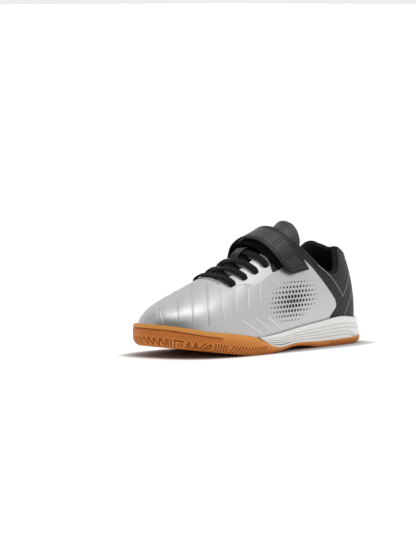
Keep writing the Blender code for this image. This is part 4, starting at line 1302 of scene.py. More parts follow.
@dataclass
class Wedge:
    """Foam wedge round the heel and arch, its side in flowing layers."""

    columns: int = 520
    rows: Grid = (80, 6)
    end: float = 6.8
    depth: float = 1.2
    least: float = 0.25
    layers: tuple[float, ...] = (-0.34, 0.34, 0.50, 0.66, 0.82, 1.06)
    layers_start: Pair = (2.0, 2.7)
    heel_drop: tuple[float, ...] = (0.0, 0.04, 0.20)
    heel_end: Pair = (1.0, 2.4)
    thinnest: float = 0.01
    crease_shade: Pair = (0.35, 1.0)
    crest: float = 0.6
    crispness: float = 2.2
    full_height: float = 8.0
    foot_round: Pair = (0.3, 0.06)
    rim_round: Pair = (0.8, 0.7)
    rim_tuck: Pair = (-0.15, 0.2)
    seat: float = 0.05

    def build(self) -> None:
        """Make the wedge."""
        band = add_marked("foam_wedge", self.columns, sum(self.rows), self.surface)
        hand_in(weld(band, cap=True), FOAM, Slot.FOAM, "midsole", smooth=60)

    def creases(self, station: Array, below: Array) -> Array:
        """Return how far the side falls in between its layers, 0 to 1.

        Args:
            station: stations along the wedge.
            below: share of the way from its rim down to the gum.

        Returns:
            The depth, 1 in the bottom of a crease.
        """
        s = np.abs(station)
        sunk = 1 - ease(s, *self.layers_start)
        heel = 1 - ease(s, *self.heel_end)
        upper, lower = self.layers[:len(self.heel_drop)], self.layers[len(self.heel_drop):]
        edges = [*(share + heel * drop for share, drop in zip(upper, self.heel_drop)),
                 *(mix(share, self.layers[-1], sunk) for share in lower)]
        fall = np.zeros(len(below))
        for top, bottom in zip(edges, edges[1:]):
            h = (below - top) / np.maximum(bottom - top, self.thinnest)
            off_crest = np.where(h < self.crest, 1 - h / self.crest, (h - self.crest) / (1 - self.crest))
            within = (h >= 0) & (h < 1)
            fall = np.where(within, np.where(within, off_crest, 0) ** self.crispness, fall)
        return fall

    def surface(self, u: Array, v: Array, marks: Marks) -> Array:
        """Return the wedge's points: up its side, over the rim and down inside; mark its creases for painted
        shade.
        """
        station = self.end * (1 - 2 * u)
        share, inward = spans(v, *self.rows)
        foot = LAST.level("gum_top", station) + self.seat
        rim = np.maximum(LAST.level("rim", station), foot + self.least)
        tall = np.clip((rim - foot) / self.full_height, 0, 1)
        below = (1 - share) * (rim - foot)
        (low, low_width), (high, high_width) = self.foot_round, self.rim_round
        rounded = low * bell(share, low_width) + high * bell(below, high_width)
        crease = self.creases(station, 1 - share)
        inset = rounded * tall + self.depth * tall * crease
        margin = LAST.level("margin", station)
        flare = share * (margin - LAST.level("rim_margin", station))
        side = LAST.outline(station, margin - flare - inset, foot + share * (rim - foot))
        # painted shade in the creases between the foam's layers
        marks["crease"] = ease(crease, *self.crease_shade) * tall * (inward == 0)
        sunk, drop = self.rim_tuck
        edge = LAST.skin(station, LAST.share_at(station, rim), sunk)
        edge[:, 2] = rim - drop
        inside = mix(edge, LAST.outline(station, GAP, foot), inward[:, None])
        return np.where((inward > 0)[:, None], inside, side)


@dataclass
class Insole:
    """Cloth-topped insole on the sole's bed."""

    thickness: float = 3.2
    inset: float = 2.6
    cup: float = 1.6
    cup_width: float = 0.5
    cup_end: Pair = (3.0, 6.0)

    def build(self) -> None:
        """Make the insole."""
        sheet = add_sheet("insole_pad", 220, 24, self.surface, (560.0, 40.0))
        hand_in(thicken(merge(sheet), self.thickness - GAP), INSOLE_CLOTH, Slot.INSOLE, "insole")

    def surface(self, u: Array, v: Array) -> Array:
        """Return the insole's top, raised a little at its edge."""
        station = LAST_STATION * (1 - 2 * u)
        height = LAST.level("bed", station) + self.thickness
        edge, other = (LAST.outline(place, -self.inset, height) for place in (station, -station))
        points = mix(edge, (edge + other) / 2, v[:, None])
        raised = (1 - ease(v, 0.0, self.cup_width)) * (1 - ease(np.abs(station), *self.cup_end))
        points[:, 2] += self.cup * raised
        return points


@dataclass
class Upper:
    """Silver upper with its raised lines, from the feather line to the collar and throat."""

    wall: float = 0.8
    heel_end: float = 2.6
    rows: Grid = (62, 24)
    vamp_columns: int = 250
    quarter_columns: int = 150
    welt_width: float = 1.5
    welt_height: float = 0.85
    dip_depth: float = 0.14
    dip_width: float = 3.0
    dip_fade: Pair = (0.6, 1.0)
    dip_steps: int = 15
    welt_steps: int = 60
    welt_head: Pair = (-0.05, 0.12)
    welt_tail: Pair = (0.70, 1.0)
    least_welt: Pair = (0.25, 0.05)
    tuck: float = 0.035
    tuck_end: Pair = (5.3, 5.7)
    toe_ridges: int = 4
    ridges: tuple[Line, ...] = (
        ((11.92, 0.690), (11.68, 0.630), (11.50, 0.545), (11.34, 0.410), (11.13, 0.265)),
        ((10.75, 1.000), (10.52, 0.860), (10.40, 0.657), (10.34, 0.487), (10.30, 0.345)),
        ((8.65, 1.000), (9.13, 0.850), (9.40, 0.685), (9.55, 0.510), (9.61, 0.340), (9.63, 0.228)),
        ((8.06, 0.873), (8.39, 0.738), (8.64, 0.600), (8.79, 0.465), (8.88, 0.325), (8.90, 0.240)),
        ((7.70, 0.715), (7.91, 0.608), (8.05, 0.505), (8.15, 0.408), (8.22, 0.300)),
        ((7.16, 0.623), (7.33, 0.535), (7.46, 0.450), (7.59, 0.352)),
        ((6.70, 0.555), (6.80, 0.500), (6.90, 0.438), (7.01, 0.370)),
        ((6.25, 0.522), (6.33, 0.473), (6.41, 0.417), (6.49, 0.362)),
        ((7.49, 0.268), (7.23, 0.220), (6.94, 0.158), (6.59, 0.088)),
        ((6.89, 0.253), (6.61, 0.195), (6.34, 0.133), (6.07, 0.065)),
        ((6.30, 0.215), (6.06, 0.168), (5.83, 0.115), (5.62, 0.060)),
        ((-5.75, 0.500), (-7.50, 0.620), (-9.20, 0.820)),
        ((-6.30, 0.440), (-8.10, 0.575), (-9.90, 0.790)),
        ((-6.90, 0.380), (-8.70, 0.510), (-10.50, 0.720)),
        ((-7.40, 0.300), (-9.15, 0.410), (-10.90, 0.600)),
        ((-7.90, 0.220), (-9.60, 0.300), (-11.30, 0.460)),
        ((-6.30, 0.240), (-5.90, 0.185), (-5.50, 0.060)),
        ((-6.90, 0.240), (-6.45, 0.185), (-6.00, 0.060)),
    )

    def build(self) -> None:
        """Make the upper's skin from a vamp and two quarters."""
        skin = add_sheet("upper_skin", self.vamp_columns, sum(self.rows), self.vamp)
        quarters = [add_sheet(f"quarter_{side.label}", self.quarter_columns, self.rows[0],
                              partial(self.quarter, side=side)) for side in Side]
        merge(join(skin, *quarters), PANEL_TOUCH)
        hand_in(thicken(skin, self.wall), SILVER, Slot.SILVER, "upper")
        welts = [self.welt(number, ridge) for number, ridge in enumerate(self.ridges)]
        hand_in(join(*welts[:self.toe_ridges]), SILVER, Slot.SILVER, smooth=80).name = "toe_welts"
        # the side welts are in the lighter foil, a painted highlight
        hand_in(join(*welts[self.toe_ridges:]), WELT_HIGHLIGHT, Slot.SILVER, smooth=80).name = "side_welts"

    def vamp(self, u: Array, v: Array) -> Array:
        """Return the front of the upper, closed over the ridge of the foot."""
        ring = 2 * LAST_STATION - THROAT_BASE - 2 * (LAST_STATION - THROAT_BASE) * u
        station = np.where(ring > LAST_STATION, ring - 2 * LAST_STATION, ring)
        low, high = spans(v, *self.rows)
        edge = LAST.edge(station)
        return self.raised(station, edge * low + (1 - edge) * high)

    def quarter(self, u: Array, v: Array, side: Side) -> Array:
        """Return one side of the upper from the throat's base to the heel panel."""
        station = side.value * mix(THROAT_BASE, self.heel_end, side.heelwards(u))
        tucked = self.tuck * (1 - ease(np.abs(station), *self.tuck_end))
        return self.raised(station, (LAST.edge(station) - tucked) * v)

    def line(self, ridge: Line, count: int) -> tuple[Array, Array]:
        """Return the stations and shares along a raised line."""
        station, share = flow(ridge, np.linspace(0, 1, count)).T
        return station, share

    def raised(self, station: Array, share: Array) -> Array:
        """Return the skin, drawn in along its raised lines so that it swells between them."""
        base = LAST.point(station, share)
        dip = np.zeros(len(base))
        for ridge in self.ridges:
            gap, along = near_path(base, LAST.point(*self.line(ridge, self.dip_steps)))
            dip = np.maximum(dip, bell(gap, self.dip_width) * (1 - ease(along, *self.dip_fade)))
        return LAST.skin(station, share, -self.dip_depth * dip)

    def welt(self, number: int, ridge: Line) -> Piece:
        """Return one raised line, which thins out at its lower end."""
        station, share = self.line(ridge, self.welt_steps)
        path = self.raised(station, share)
        run = np.linspace(0, 1, len(path))
        thin = np.sqrt((1 - ease(run, *self.welt_tail)) * ease(run, *self.welt_head))
        width, height = (size * np.maximum(thin, least) for size, least
                         in zip((self.welt_width, self.welt_height), self.least_welt))
        return sweep(f"welt_{number}", path, LAST.normal(station, share), width, height)


@dataclass
class Lining:
    """Knit lining that pads the collar and rolls over its edge."""

    wall: float = 2.0
    pad: float = 3.4
    pad_depth: float = 0.26
    pad_end: Pair = (4.4, 5.1)
    plump: Pair = (0.95, 0.55)
    plump_end: Pair = (1.4, 2.6)
    foot: float = 0.04
    roll_turn: float = 0.97
    roll_ease: float = 0.4
    sheet: float = 0.6
    rows: Grid = (34, 14)
    columns: int = 380

    def build(self) -> None:
        """Make the lining."""
        sheet = add_sheet("collar_lining", self.columns, sum(self.rows), self.surface, (560.0, 80.0))
        lining = hand_in(thicken(merge(sheet), self.sheet), LINING, Slot.CLOTH)

    def depth(self, station: Array, share: Array) -> Array:
        """Return the thickness of wall and padding."""
        start, end = self.pad_end
        fade = np.clip((end - np.abs(station)) / (end - start), 0, 1)
        near = np.clip(1 - (LAST.edge(station) - share) / self.pad_depth, 0, 1)
        return self.wall + self.pad * fade * near * near * (3 - 2 * near)

    def surface(self, u: Array, v: Array) -> Array:
        """Return the lining from the insole up its inside and over the edge."""
        station = LAST_STATION * (2 * u - 1)
        climb, roll = spans(v, *self.rows)
        edge = LAST.edge(station)
        share = edge * mix(self.foot, 1, climb)
        radius = self.depth(station, share) / 2
        reach = 1 - ease(np.abs(station), THROAT_BASE - self.roll_ease, THROAT_BASE)
        angle = self.roll_turn * np.pi * reach * roll
        plump = mix(*self.plump, ease(np.abs(station), *self.plump_end))
        step = 0.01
        span = np.linalg.norm(LAST.point(station, edge) - LAST.point(station, edge - step), axis=-1) / step
        rolled = share + plump * radius * np.sin(angle) / span
        return LAST.skin(station, rolled, -radius - radius * np.cos(angle))


@dataclass
class Overlays:
    """Black heel and collar panel, white eyestays, and the lines on the heel."""

    panel_columns: int = 240
    wing_columns: int = 130
    rows: Grid = (16, 46)
    panel_tuck: float = 0.010
    panel_lift: float = 0.45
    panel_lean: float = 1.8
    panel_edge: Pair = (0.35, 0.01)
    behind_rim: float = 1.5
    eyestay_grid: Grid = (110, 44)
    eyestay_over: float = 0.004
    eyestay_lift: Pair = (-0.2, 0.8)
    eyestay_round: float = 0.07
    eyestay_ends: float = 1.2
    line_steps: int = 120
    line_size: Pair = (0.9, 0.7)
    # the cord of painted highlight along the collar edge
    highlight_cord_end: float = 4.6
    highlight_cord_steps: int = 400
    highlight_cord_size: Pair = (0.7, 0.7)
    highlight_cord_sink: float = 0.1
    lower_edge: Line = (
        (3.46, 0.075), (3.33, 0.101), (3.23, 0.119), (3.16, 0.135), (3.14, 0.151), (3.14, 0.157),
    )
    front_edge: Line = (
        (3.14, 0.157), (3.16, 0.170), (3.21, 0.188), (3.39, 0.225), (3.57, 0.261), (3.78, 0.309),
        (3.97, 0.355), (4.14, 0.406), (4.27, 0.441), (4.38, 0.474), (4.47, 0.499), (4.75, 0.503),
        (5.10, 0.503), (5.68, 0.520), (5.72, 0.540),
    )
    eyestay_low: tuple[EdgeRow, ...] = (
        EdgeRow(5.66, 0.525), EdgeRow(6.25, 0.518), EdgeRow(6.55, 0.522), EdgeRow(6.80, 0.590),
        EdgeRow(7.32, 0.640),
    )
    lines: tuple[Line, ...] = (
        ((3.92, 0.415), (3.85, 0.400), (3.58, 0.362), (3.28, 0.315), (2.98, 0.255), (2.78, 0.203),
         (2.78, 0.203), (2.78, 0.203), (2.34, 0.290), (2.05, 0.345), (1.80, 0.390)),
        ((1.95, 0.240), (2.28, 0.178), (2.50, 0.130), (2.70, 0.080)),
    )

    def build(self) -> None:
        """Make the panels and lines."""
        panel = add_sheet("heel_collar_panel", self.panel_columns, sum(self.rows), self.heel)
        wings = [add_sheet(f"wing_{side.label}", self.wing_columns, self.rows[1],
                           partial(self.wing, side=side)) for side in Side]
        merge(join(panel, *wings), PANEL_TOUCH)
        hand_in(thicken(panel, OVERLAY), PANEL, Slot.PANEL, "heel_panel")
        for side in Side:
            name = f"eyestay_{side.label}"
            sheet = add_sheet(f"{name}_leather", *self.eyestay_grid, partial(self.eyestay, side=side))
            hand_in(thicken(sheet, OVERLAY), WHITE, Slot.WHITE, name)
        self.piping()

    def heel(self, u: Array, v: Array) -> Array:
        """Return the panel's face round the heel, from behind the sole's rim up to the collar."""
        end, split = self.front_edge[0]
        column = end * (1 - 2 * u)
        low, high = spans(v, *self.rows)
        rim_share = LAST.share_at(column, LAST.level("rim", column) - self.behind_rim)
        share = rim_share + low * (split - rim_share) + high * (LAST.edge(column) - self.panel_tuck - split)
        stations, shares = zip(*self.lower_edge)
        lean = Smooth(shares, np.array(stations) - end)(share) * ease(np.abs(column), self.panel_lean, end)
        side_gap = np.where(low < 1, end - np.abs(column), 1.0)
        return self.face(column + np.sign(column) * lean, share, np.minimum(side_gap, 1 - high))

    def wing(self, u: Array, v: Array, side: Side) -> Array:
        """Return the panel's face along the collar on one side, from the heel to the eyestay."""
        start, end = self.front_edge[0][0], self.front_edge[-1][0]
        column = side.value * mix(end, start, side.heelwards(u))
        low = np.interp(np.abs(column), *flow(self.front_edge, np.linspace(0, 1, 200)).T)
        share = mix(low, LAST.edge(column) - self.panel_tuck, v)
        return self.face(column, share, np.minimum(np.minimum(v, 1 - v), end - np.abs(column)))

    def face(self, station: Array, share: Array, edge_gap: Array) -> Array:
        """Return points of the panel's face, which is drawn in at its edges."""
        drop, width = self.panel_edge
        return LAST.skin(station, share, self.panel_lift - drop * bell(edge_gap, width))

    def eyestay(self, u: Array, v: Array, side: Side) -> Array:
        """Return the face of one eyestay."""
        nose, rear = self.eyestay_low[-1].station, self.eyestay_low[0].station
        station = mix(nose, rear, side.heelwards(u))
        low = Smooth.table(self.eyestay_low)["share"](station)
        share = mix(low, LAST.edge(station) + self.eyestay_over, v)
        edge_gap = np.minimum(np.minimum(u, 1 - u) * self.eyestay_ends, v)
        lift = mix(*self.eyestay_lift, ease(edge_gap, 0.0, self.eyestay_round))
        return LAST.skin(side.value * station, share, lift)

    def piping(self) -> None:
        """Make the thin raised lines on the heel, and the lighter cord along the collar edge that paints its
        highlight.
        """
        cords = []
        for side in Side:
            for k, line in enumerate(self.lines):
                s, t = flow(line, np.linspace(0, 1, self.line_steps)).T
                cords.append(self.cord(f"heel_line_{side.label}_{k}", side.value * s, t, 0.0, self.line_size))
        hand_in(join(*cords), PIPING, Slot.PANEL)
        # a lighter cord along the collar edge, a painted highlight of the panel's edge
        s = np.linspace(-self.highlight_cord_end, self.highlight_cord_end, self.highlight_cord_steps)
        t = LAST.edge(s) - self.panel_tuck
        highlight_cord = self.cord("collar_highlight_cord", s, t, self.highlight_cord_sink, self.highlight_cord_size)
        hand_in(highlight_cord, COLLAR_EDGE_HIGHLIGHT, Slot.PANEL)

    def cord(self, name: str, station: Array, share: Array, sink: float, size: Pair) -> Piece:
        """Return a cord along places on the panel, sunk a little and of a width and thickness."""
        path = LAST.skin(station, share, self.panel_lift - sink)
        return sweep(name, path, LAST.normal(station, share), *size)


@dataclass
class Tongue:
    """Padded tongue with a smooth face, and the lace keeper on it."""

    rows: tuple[TongueRow, ...] = (
        TongueRow(65.5, 0.660, 0.3, 4.0), TongueRow(73.0, 0.735, -1.0, 5.0),
        TongueRow(81.0, 0.790, -1.6, 5.0), TongueRow(91.0, 0.800, -2.3, 4.4),
        TongueRow(118.0, 0.660, -2.8, 3.4), TongueRow(155.0, 0.700, -2.8, 2.4),
    )
    grid: Grid = (96, 120)
    row_spacing: float = 1.6
    squareness: float = 5.0
    crown: float = 0.35
    bound_edge: Pair = (0.955, 0.985)
    bow: float = 10.0
    bow_end: float = 92.0
    bow_power: float = 2.3
    tip_round: float = 3.0
    widen: float = 0.046
    outward: float = 0.037
    keeper: Line = (
        (122.5, -2.6), (121.5, -0.4), (118.5, 2.2), (113.5, 2.9), (109.0, 1.8), (105.5, 0.0), (103.0, -2.2),
    )
    keeper_width: float = 8.0
    keeper_q: float = 0.03
    keeper_thickness: float = 0.9
    keeper_steps: int = 60

    def build(self) -> None:
        """Make the tongue and its keeper."""
        tongue = add_marked("tongue_pad", *self.grid, self.surface, (80.0, 95.0))
        hand_in(weld(tongue, cap=True), TONGUE_LEATHER, Slot.CLOTH, "tongue", smooth=60)
        h = np.linspace(0, 1, self.keeper_steps)
        way = np.linspace(0, 1, len(self.keeper))
        x, offset = (Smooth(way, column)(h) for column in np.array(self.keeper).T)
        path = LAST.over(self.keeper_q, x, offset)
        along = np.gradient(path, axis=0)
        normals = np.cross(along, np.array([0.0, 1.0, 0.0]))
        band = sweep("keeper_band", path, normals, self.keeper_width, self.keeper_thickness, 24, 6.0)
        hand_in(band, KEEPER_LEATHER, Slot.PANEL, "lace_keeper", smooth=60)

    def surface(self, u: Array, v: Array, marks: Marks) -> Array:
        """Return the tongue's points round its section and along the foot, and mark its bound edge."""
        curves = Smooth.table(self.rows)
        first, last = self.rows[0].x, self.rows[-1].x
        across, face = squircle(even_turn(u), self.squareness)
        x = mix(first, last, v ** self.row_spacing)
        tip = np.sqrt(np.clip(1 - ((first + self.tip_round - x) / self.tip_round).clip(0) ** 2, 0, 1))
        fade = 1 - ease(x, first, self.bow_end)
        half = (1 - curves["side_share"](x)) + self.widen * fade
        bow = self.bow * fade * (1 - np.sqrt(np.clip(1 - np.abs(across) ** self.bow_power, 0, 1)))
        thickness = curves["thickness"](x) * tip
        crown = 1 - self.crown * across ** 4
        middle = curves["top_offset"](x) - curves["thickness"](x) / 2
        offset = middle + face * thickness / 2 * crown
        marks["under"] = ease(np.abs(across), *self.bound_edge)
        return LAST.over(across * half + self.outward * fade, x + bow, offset)


@dataclass
class Laces:
    """Elastic laces: a straight bar and three crossings, through eyelets in the eyestays."""

    eyelets: Line = (
        (146.6, 0.675), (134.0, 0.658), (122.2, 0.643), (110.4, 0.633),
    )
    width: float = 6.2
    thickness: float = 1.8
    under_share: float = 0.875
    under_back: float = 4.5
    over: float = GAP + OVERLAY + GAP + 1.1
    crossing: float = 1.8
    rising_gap: float = 0.25
    falling_gap: float = -0.9
    bar_bow: float = 2.6
    bar_drop: float = 0.3
    slim: Pair = (0.22, 0.05)
    around: int = 16
    squareness: float = 2.6
    steps: int = 90

    def build(self) -> None:
        """Make the laces, which end in the eyelets."""
        x, share = self.eyelets[0]
        bar = self.strand("lace_bar", (1 - share, x), (share - 1, x), self.bar_lift(), self.bar_bow)
        hand_in(bar, LACE, Slot.CLOTH, "lace_bar_1", smooth=60)
        for row in range(1, len(self.eyelets)):
            x, share = self.eyelets[row]
            before = self.eyelets[row - 1][0] - self.under_back
            under = 1 - self.under_share
            rising = self.strand(f"lace_crossing_{row + 1}", (1 - share, x), (-under, before),
                                 self.cross_lift(self.rising_gap))
            falling = self.strand(f"lace_partner_{row + 1}", (share - 1, x), (under, before),
                                  self.cross_lift(self.falling_gap))
            hand_in(join(rising, falling), LACE, Slot.CLOTH, f"lace_cross_{row + 1}", smooth=60)

    def cross_lift(self, gap: float) -> Smooth:
        """Return the height along a strand that ends in an eyelet and comes from under the edge."""
        return Smooth((-0.085, -0.050, 0.03, 0.45, 0.88, 1.0, 1.1),
                      (-1.8, 0.6, self.over, self.crossing + gap, -0.4, -1.1, -1.9))

    def bar_lift(self) -> Smooth:
        """Return the height along the straight bar, which ends in an eyelet at both ends."""
        over = self.over - self.bar_drop
        return Smooth((-0.07, -0.04, 0.03, 0.5, 0.97, 1.04, 1.07), (-1.8, 0.4, over, 0.5, over, 0.4, -1.8))

    def strand(self, name: str, start: Pair, end: Pair, lift: Smooth, bow: float = 0.0) -> Piece:
        """Return one strand between two places (q, x), bowed towards the toe in its middle."""
        run = np.linspace(lift.places[0], lift.places[-1], self.steps)
        q = mix(start[0], end[0], run)
        x = mix(start[1], end[1], run) + bow * np.clip(4 * run * (1 - run), 0, 1)
        path = LAST.over(q, x, lift(run))
        normals = LAST.over(q, x, lift(run) + 1) - path
        loss, length = self.slim
        width = self.width * (1 - loss * bell(run - lift.places[0], length))
        return sweep(name, path, normals, width, self.thickness, self.around, self.squareness)


@dataclass
class Strap:
    """Folded strap over the instep, its stitching, and the loop that holds its fold."""

    rows: tuple[StrapRow, ...] = (
        StrapRow(0.600, 72.6, 92.4, 3.6, 3.6), StrapRow(0.470, 78.0, 98.7, 4.2, 4.3),
        StrapRow(0.310, 80.6, 100.5, 4.6, 5.0), StrapRow(0.150, 81.6, 101.0, 4.2, 5.6),
        StrapRow(0.000, 82.4, 103.0, 4.2, 6.8), StrapRow(-0.150, 83.5, 105.5, 5.6, 8.6),
        StrapRow(-0.260, 86.0, 107.0, 7.6, 9.2), StrapRow(-0.360, 88.0, 107.0, 8.8, 8.8),
        StrapRow(-0.400, 88.5, 106.5, 8.8, 8.8),
    )
    layer: float = 1.5
    layer_gap: float = 0.4
    root_q: float = 0.50
    fold_q: float = -0.40
    front_q: float = 0.97
    fold_reach: Pair = (0.038, 0.070)
    parting_q: Pair = (-0.33, -0.12)
    root_forward: float = 6.2
    root_from: Pair = (-0.3, 0.0)
    root_turn: Pair = (0.24, 0.48)
    root_kept: float = 0.5
    root_end: float = 1.2
    root_grid: Grid = (100, 130)
    band_grid: Grid = (100, 200)
    squareness: float = 7.0
    end_round: float = 0.022
    bare_side: Pair = (0.15, 0.6)
    bare_end: Pair = (0.012, 0.035)
    bare_share: float = 0.8
    loop_centre: Pair = (5.37, 0.515)
    loop_half: Pair = (0.47, 0.115)
    loop_bar: Pair = (0.075, 0.030)
    loop_thickness: float = 2.4
    loop_lift: Pair = (0.3, 4.5)
    loop_grid: Grid = (24, 260)
    rib_bar: Pair = (0.8, 0.98)
    rib_inside: Pair = (0.3, 0.6)
    rib_height: float = 0.35
    rib_count: int = 9
    loop_squareness: Pair = (4.0, 3.0)
    thread: Thread = Thread(2.6, 1.7, 0.5)
    width: float = 18.5
    seam_gaps: Pair = (1.1, 2.8)
    seam_dent: float = 0.05
    dent_width: float = 0.55
    dent_from: float = 2.05
    seam_run: Pair = (2.06, 2.965)
    cross_run: Pair = (0.19, 0.81)
    end_run: Pair = (0.10, 0.90)
    end_seam: float = 2.955
    corner_share: float = 0.24
    corner_run: float = 0.055
    corner_from: float = 2.7
    cross_seams: tuple[float, ...] = (0.262, 0.289, 0.430, 0.457)

    def build(self) -> None:
        """Make the strap, its stitches and the loop."""
        root = add_sheet("strap_backing", *self.root_grid,
                         lambda u, v: self.surface(u, self.root_end * v, {}))
        hand_in(weld(root, cap=True), BACKING, Slot.STRAP, smooth=60)
        band = add_marked("strap_band", *self.band_grid,
                          lambda u, v, marks: self.surface(u, mix(self.root_end, 3, v), marks), (50.0, 120.0))
        hand_in(weld(band, cap=True), STRAP_LEATHER, Slot.STRAP, "strap", smooth=60)
        hand_in(self.thread.sew("strap_stitches", self.seams()), BLACK_THREAD, Slot.STRAP)
        loop = add_rod("loop_frame", *self.loop_grid, self.frame, cap=False)
        hand_in(loop, PLASTIC, Slot.PLASTIC, "strap_loop", smooth=60)

    def band(self, run: Array, breadth: Array, depth: Array) -> Array:
        """Return points of the strap.

        Args:
            run: 0 to 1 along the root layer, to 2 round the fold, to 3 along the face layer.
            breadth: 0 at the rear edge, 1 at the front edge.
            depth: 0 on the inside of the fold, 1 on its outside.

        Returns:
            The points, in millimetres.
        """
        free = self.rows[0].q
        opening = self.loop_thickness + 2 * self.layer_gap
        parting = Smooth((self.fold_q, *self.parting_q, free),
                         (opening, opening, self.layer_gap, self.layer_gap))
        root, face = run < 1, run >= 2
        flat_q = np.where(root, mix(self.root_q, self.fold_q, run),
                          mix(self.fold_q, free, np.maximum(run - 2, 0)))
        held = np.where(root | face, flat_q, self.fold_q)
        turn = np.clip(run - 1, 0, 1) * np.pi
        middle = self.layer + opening / 2
        reach = mix(*self.fold_reach, depth)
        q = np.where(root | face, flat_q, self.fold_q - reach * np.sin(turn))
        root_drop = self.layer * (1 + depth) + parting(flat_q)
        fold_drop = middle + (opening / 2 + depth * self.layer) * np.cos(turn)
        drop = np.where(root, root_drop, np.where(face, self.layer * (1 - depth), fold_drop))
        slant = 1 + breadth * (self.front_q - 1) * np.clip(q / free, 0, 1)
        row = {name: curve(held) for name, curve in Smooth.table(self.rows).items()}
        turned = ease(flat_q, *self.root_from) * mix(1, self.root_kept, ease(flat_q, *self.root_turn))
        forward = np.where(root, self.root_forward * breadth * turned, 0)
        x = mix(row["rear_x"], row["front_x"], breadth) + forward
        lift = mix(row["rear_lift"], row["front_lift"], breadth)
        return LAST.over(q * slant, x, lift - drop)

    def surface(self, u: Array, run: Array, marks: Marks) -> Array:
        """Return the strap round its section and along its length, and mark its cut edges."""
        across, face = squircle(even_turn(u), self.squareness)
        end = np.sqrt(np.clip(np.minimum(run, 3 - run) / self.end_round, 0, 1))
        breadth = 0.5 + across / 2
        side_gap = np.minimum(breadth, 1 - breadth) * self.width
        bare_end = self.bare_share * (1 - ease(3 - run, *self.bare_end))
        marks["under"] = np.maximum(1 - ease(side_gap, *self.bare_side), bare_end)
        pressed = sum(bell(side_gap - gap, self.dent_width) for gap in self.seam_gaps)
        dent = pressed * (run > self.dent_from) * (face > 0)
        corner = np.clip((breadth - 1 + self.corner_share) / self.corner_share, 0, 1)
        cut = self.corner_run * (1 - np.sqrt(1 - corner ** 2)) * ease(run, self.corner_from, 3.0)
        return self.band(run - cut, breadth, 0.5 + face * end / 2 - self.seam_dent * dent)

    def seams(self) -> list[tuple[Array, Array]]:
        """Return the strap's seams: two along each edge, pairs across it, and one at its end."""
        along = np.linspace(*self.seam_run, 160)
        across, ends = (np.linspace(*run, 40) for run in (self.cross_run, self.end_run))
        shares = [gap / self.width for gap in self.seam_gaps]
        q_span = self.rows[0].q - self.fold_q
        lines = [(along, place) for share in shares for place in (share, 1 - share)]
        lines += [(2 + (q - self.fold_q) / q_span, across) for q in self.cross_seams]
        lines.append((self.end_seam, ends))
        seams = []
        for line in lines:
            run, breadth = aligned(*line)
            face = self.band(run, breadth, np.ones_like(run))
            seams.append((face, face - self.band(run, breadth, np.zeros_like(run))))
        return seams

    def frame(self, u: Array, v: Array) -> Array:
        """Return the loop's frame, ribbed along its sewn bar."""
        round_loop, round_bar = self.loop_squareness
        along, up = squircle(2 * np.pi * v, round_loop)
        inward, rise = squircle(2 * np.pi * u, round_bar)
        inward = (1 + inward) / 2
        tilt = mix(*self.loop_lift, (1 + up) / 2)
        station = self.loop_centre[0] + along * (self.loop_half[0] - inward * self.loop_bar[0])
        share = self.loop_centre[1] + up * (self.loop_half[1] - inward * self.loop_bar[1])
        low_bar = ease(-up, *self.rib_bar) * ease(inward, *self.rib_inside)
        ribs = self.rib_height * low_bar * np.cos(2 * np.pi * along * self.rib_count)
        return LAST.skin(-station, share, tilt + self.loop_thickness * (1 + rise) / 2 + ribs * (rise > 0))


@dataclass
class Stitching:
    """Seams on the upper: the throat's base, the eyestays and the collar."""

    thread: Thread = Thread(2.2, 1.4, 0.34)
    fine_thread: Thread = Thread(2.4, 1.3, 0.22)
    throat_half: float = 0.22
    throat_x: float = 155.0
    throat_bow: float = 9.0
    throat_lift: float = 0.25
    eyestay_run: Pair = (5.72, 7.26)
    eyestay_inset: float = 0.016
    collar_end: float = 4.3
    collar_inset: float = 0.034
    collar_lift: float = 0.45

    def build(self) -> None:
        """Sew the seams."""
        q = np.linspace(-self.throat_half, self.throat_half, 60)
        x = self.throat_x - self.throat_bow * q * q
        throat = LAST.over(q, x, self.throat_lift)
        pale = [(throat, LAST.over(q, x, self.throat_lift + OVERLAY) - throat)]
        hand_in(self.thread.sew("throat_stitches", pale), GREY_THREAD, Slot.SILVER)
        s = np.linspace(*self.eyestay_run, 80)
        dark = [self.seam(side.value * s, LAST.edge(s) - self.eyestay_inset, GAP + OVERLAY) for side in Side]
        hand_in(self.fine_thread.sew("eyestay_stitches", dark), GREY_THREAD, Slot.WHITE)
        s = np.linspace(-self.collar_end, self.collar_end, 300)
        collar = [self.seam(s, LAST.edge(s) - self.collar_inset, self.collar_lift)]
        hand_in(self.thread.sew("collar_stitches", collar), BLACK_THREAD, Slot.PANEL)

    def seam(self, station: Array, share: Array, offset: float) -> tuple[Array, Array]:
        """Return the points and normals of a seam on the upper."""
        return LAST.skin(station, share, offset), LAST.normal(station, share)


